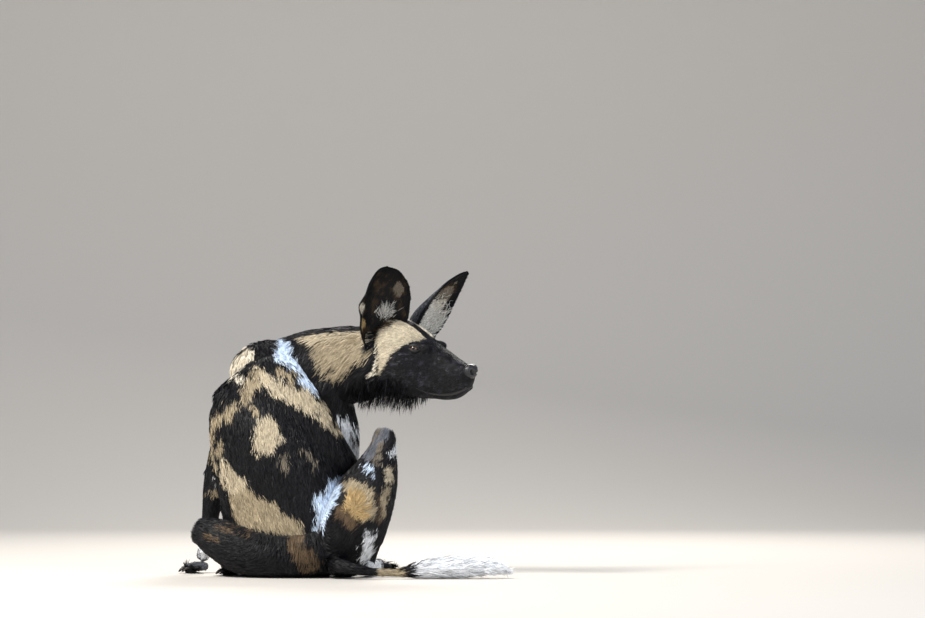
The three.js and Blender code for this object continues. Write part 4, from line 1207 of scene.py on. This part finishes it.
# %% Claws
CLAW = {"length": 14, "radius": 2.9, "start": 11}
CLAW_ROWS = ((0, 10.5, 1.0), (0.4, 10.2, 0.9), (0.8, 6.5, 0.6), (1.0, 3.2, 0.22))


def claws():
    """A tube of four rows for each toe, from inside the toe to a blunt point near the floor. A row has a
    share of the length, a height and a share of the radius."""
    made = []
    for p, forward in toe_places():
        rows = []
        for share, height, size in CLAW_ROWS:
            q = p + forward * CLAW["start"] + forward * CLAW["length"] * share
            tall = CLAW["radius"] * size
            rows.append([q[0], q[1], height, tall, tall, tall * 0.7, tall * 0.7])
        made.append(tube(rows, sides=14, per_row=4, back=UP, cap=0.4))
    return make_object("claws", *join_parts(made))


claw_piece = claws()

# %% [markdown]
# ## Finishes
# Skin and coat share one group of nodes that varies the tone of the hair in fine streaks. Everything that is
# the same all over a piece is set on the shader itself.

# %% Helpers for materials
def feed(tree, node, inputs):
    """Each named input gets a link where it is given another node's output, and else a fixed value."""
    for socket, value in inputs.items():
        if isinstance(value, bpy.types.NodeSocket):
            tree.links.new(value, node.inputs[socket])
        else:
            node.inputs[socket].default_value = value


def add_node(tree, kind, inputs, **settings):
    """A shader node of one kind with its settings and inputs."""
    node = tree.nodes.new("ShaderNode" + kind)
    for setting, value in settings.items():
        setattr(node, setting, value)
    feed(tree, node, inputs)
    return node


def new_material(name):
    """A material, its node tree and the Principled shader in it."""
    material = bpy.data.materials.new(name)
    material.use_nodes = True
    return material, material.node_tree, material.node_tree.nodes["Principled BSDF"]


# %% Shared node group
def hair_tone_group():
    """Colour times a streaky noise between a dark and a light share; the same noise gives the
    roughness."""
    group = bpy.data.node_groups.new("hair tone", "ShaderNodeTree")
    sockets = (
        ("Colour", "INPUT", "Color"), ("Scale", "INPUT", "Float"), ("Amount", "INPUT", "Float"),
        ("Colour", "OUTPUT", "Color"), ("Roughness", "OUTPUT", "Float"), ("Height", "OUTPUT", "Float"),
    )
    for name, side, kind in sockets:
        group.interface.new_socket(name, in_out=side, socket_type="NodeSocket" + kind)
    come, go = group.nodes.new("NodeGroupInput").outputs, group.nodes.new("NodeGroupOutput")
    where = add_node(group, "TexCoord", {}).outputs["Object"]
    grain = add_node(group, "TexNoise", {"Detail": 4, "Vector": where, "Scale": come["Scale"]}).outputs["Fac"]
    centred = add_node(group, "Math", {0: grain, 1: 0.5}, operation="SUBTRACT").outputs[0]
    share = {0: centred, 1: come["Amount"], 2: 1.0}
    share = add_node(group, "Math", share, operation="MULTIPLY_ADD").outputs[0]
    tone = add_node(group, "VectorMath", {0: come["Colour"], "Scale": share}, operation="SCALE").outputs[0]
    rough = add_node(group, "MapRange", {"Value": grain, "To Min": 0.42, "To Max": 0.66}).outputs["Result"]
    feed(group, go, {"Colour": tone, "Roughness": rough, "Height": grain})
    return group


HAIR_TONE = hair_tone_group()


def attribute_material(name, scale, amount, bump, fixed):
    """The colour attribute through the hair tone group into a Principled shader, with its fixed values
    set on it."""
    material, tree, shader = new_material(name)
    colour = add_node(tree, "Attribute", {}, attribute_name="hair_colour").outputs["Color"]
    tone = add_node(tree, "Group", {}, node_tree=HAIR_TONE)
    feed(tree, tone, {"Scale": scale, "Amount": amount, "Colour": colour})
    feed(tree, shader, {"Base Color": tone.outputs["Colour"]})
    if "Roughness" not in fixed:
        feed(tree, shader, {"Roughness": tone.outputs["Roughness"]})
    if bump:
        relief = {"Strength": bump, "Distance": 0.001, "Height": tone.outputs["Height"]}
        feed(tree, shader, {"Normal": add_node(tree, "Bump", relief).outputs["Normal"]})
    feed(tree, shader, fixed)
    return material


COAT_FINISH = attribute_material("coat hair", 260, 0.5, 0.0, {"Specular IOR Level": 0.24})
SKIN_FINISH = attribute_material("haired skin", 420, 0.6, 0.6, {"Specular IOR Level": 0.16})
EYE_FINISH = attribute_material("wet eye", 900, 0.4, 0.0, {"Roughness": 0.06, "Coat Weight": 1.0, "IOR": 1.38})


def plain_material(name, colour, scale, rough, bump, fixed={}):
    """Two close tones of one colour mixed by a cell pattern, which also gives the bump, for leather, lids
    and horn."""
    material, tree, shader = new_material(name)
    where = add_node(tree, "TexCoord", {}).outputs["Object"]
    cells = add_node(tree, "TexVoronoi", {"Scale": scale, "Vector": where}).outputs["Distance"]
    ramp = add_node(tree, "ValToRGB", {"Fac": cells})
    for stop, share in zip(ramp.color_ramp.elements, (1.35, 0.6)):
        stop.color = (*[c * share for c in colour], 1)
    spread = add_node(tree, "MapRange", {"To Min": rough - 0.08, "To Max": rough + 0.12, "Value": cells})
    relief = add_node(tree, "Bump", {"Strength": bump, "Distance": 0.0006, "Height": cells}, invert=True)
    feed(tree, shader, {"Base Color": ramp.outputs["Color"], "Roughness": spread.outputs["Result"]})
    feed(tree, shader, {"Normal": relief.outputs["Normal"], **fixed})
    return material


LEATHER = plain_material("nose leather", (0.011, 0.012, 0.015), 900, 0.42, 0.5, {"Coat Weight": 0.2})
LID_SKIN = plain_material("lid skin", (0.007, 0.0065, 0.007), 1200, 0.5, 0.4)
LIP_SKIN = plain_material("lip skin", (0.008, 0.0075, 0.008), 1500, 0.5, 0.5)
HORN = plain_material("claw horn", (0.035, 0.03, 0.027), 500, 0.38, 0.15)
print("materials", [material.name for material in bpy.data.materials])

# %% [markdown]
# ## What each piece is
# Every piece gets one material, the record's name for that finish, and the body it rides on. Then the
# solids that a piece stands for are named.

# %% Slots, bodies and solids
def dress(obj, material):
    """The material on the object's only slot, and the body it rides on."""
    obj.data.materials.clear()
    obj.data.materials.append(material)
    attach(obj, "root")


dress(skin, SKIN_FINISH)
for piece in coat_pieces:
    dress(piece, COAT_FINISH)
for obj in eyeballs.values():
    dress(obj, EYE_FINISH)
for obj in lids:
    dress(obj, LID_SKIN)
dress(nose_piece, LEATHER)
dress(lips, LIP_SKIN)
dress(claw_piece, HORN)
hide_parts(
    "torso", "neck", "head", "ear_right", "ear_left",
    "foreleg_right", "foreleg_left", "hindleg_right", "hindleg_left", "tail",
)
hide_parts("eye_right")
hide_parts("eye_left")
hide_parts("nose")
print("dressed", len(coat_pieces) + len(eyeballs) + len(lids) + 4, "pieces")

# %% [markdown]
# ## Floor, light and camera
# A pale floor curves up into a pale wall. A large soft lamp stands high on the left, as the sun does in the
# photograph, a weaker one on the right, and the sky gives the rest. The camera looks along +Y from low
# down, about six and a half metres away.

# %% Stage
STAGE = {"front": -9.0, "depth": 3.0, "bend": 1.6, "wall": 6.0, "half": 9.0}


def sweep():
    """A profile across the view: flat floor, a quarter circle, then a wall; carried straight along X. In
    metres."""
    depth, bend, half = STAGE["depth"], STAGE["bend"], STAGE["half"]
    turn = np.linspace(0, math.pi / 2, 24)
    y = np.concatenate([[STAGE["front"]], depth + bend * np.sin(turn), [depth + bend]])
    z = np.concatenate([[0.0], bend * (1 - np.cos(turn)), [STAGE["wall"]]])
    points = np.array([[x, a, b] for x in (-half, half) for a, b in zip(y, z)])
    n = len(y)
    return make_object("floor", points * 1000 - SHIFT, [[k, k + n, k + n + 1, k + 1] for k in range(n - 1)])


floor = sweep()
pale, pale_tree, pale_shader = new_material("pale floor")
feed(pale_tree, pale_shader, {"Base Color": (0.62, 0.59, 0.55, 1), "Roughness": 0.9})
floor.data.materials.append(pale)
scene = bpy.context.scene
world = bpy.data.worlds.new("studio")
world.use_nodes = True
sky = world.node_tree.nodes["Background"]
feed(world.node_tree, sky, {"Color": (0.80, 0.87, 1.0, 1), "Strength": 0.42})
scene.world = world


def lamp(name, where, aim, size, watts, colour):
    """An area lamp whose -Z axis is turned to the aim."""
    data = bpy.data.lights.new(name, "AREA")
    data.size, data.energy, data.color = size, watts, colour
    obj = bpy.data.objects.new(name, data)
    scene.collection.objects.link(obj)
    obj.location = where
    obj.rotation_euler = (Vector(aim) - Vector(where)).to_track_quat("-Z", "Y").to_euler()


lamp("key", (-1.7, -1.5, 2.6), (0, 0, 0.25), 0.8, 140, (1.0, 0.96, 0.90))
lamp("fill", (2.4, -2.6, 1.2), (0, 0, 0.25), 2.0, 40, (0.92, 0.96, 1.0))
lamp("rim", (0.6, 2.2, 2.4), (0, 0, 0.35), 1.0, 85, (1.0, 0.97, 0.92))
print("lamps", len(bpy.data.lights))

# %% Camera
PIXEL = 0.002
PHOTO_WIDTH = 925
AIM = place([234.0, 0.0, 536.0])
EYE_HEIGHT = 0.30
DISTANCE = 6.6
camera_data = bpy.data.cameras.new("camera")
camera_data.sensor_width = 36
camera_data.lens = camera_data.sensor_width * DISTANCE / (PHOTO_WIDTH * PIXEL)
camera = bpy.data.objects.new("camera", camera_data)
scene.collection.objects.link(camera)
camera.location = (AIM[0], AIM[1] - DISTANCE, EYE_HEIGHT)
camera.rotation_euler = (math.pi / 2 + math.atan2(AIM[2] - EYE_HEIGHT, DISTANCE), 0, 0)
scene.camera = camera
scene.view_settings.view_transform = "Standard"
print("lens", round(camera_data.lens, 1), "mm")
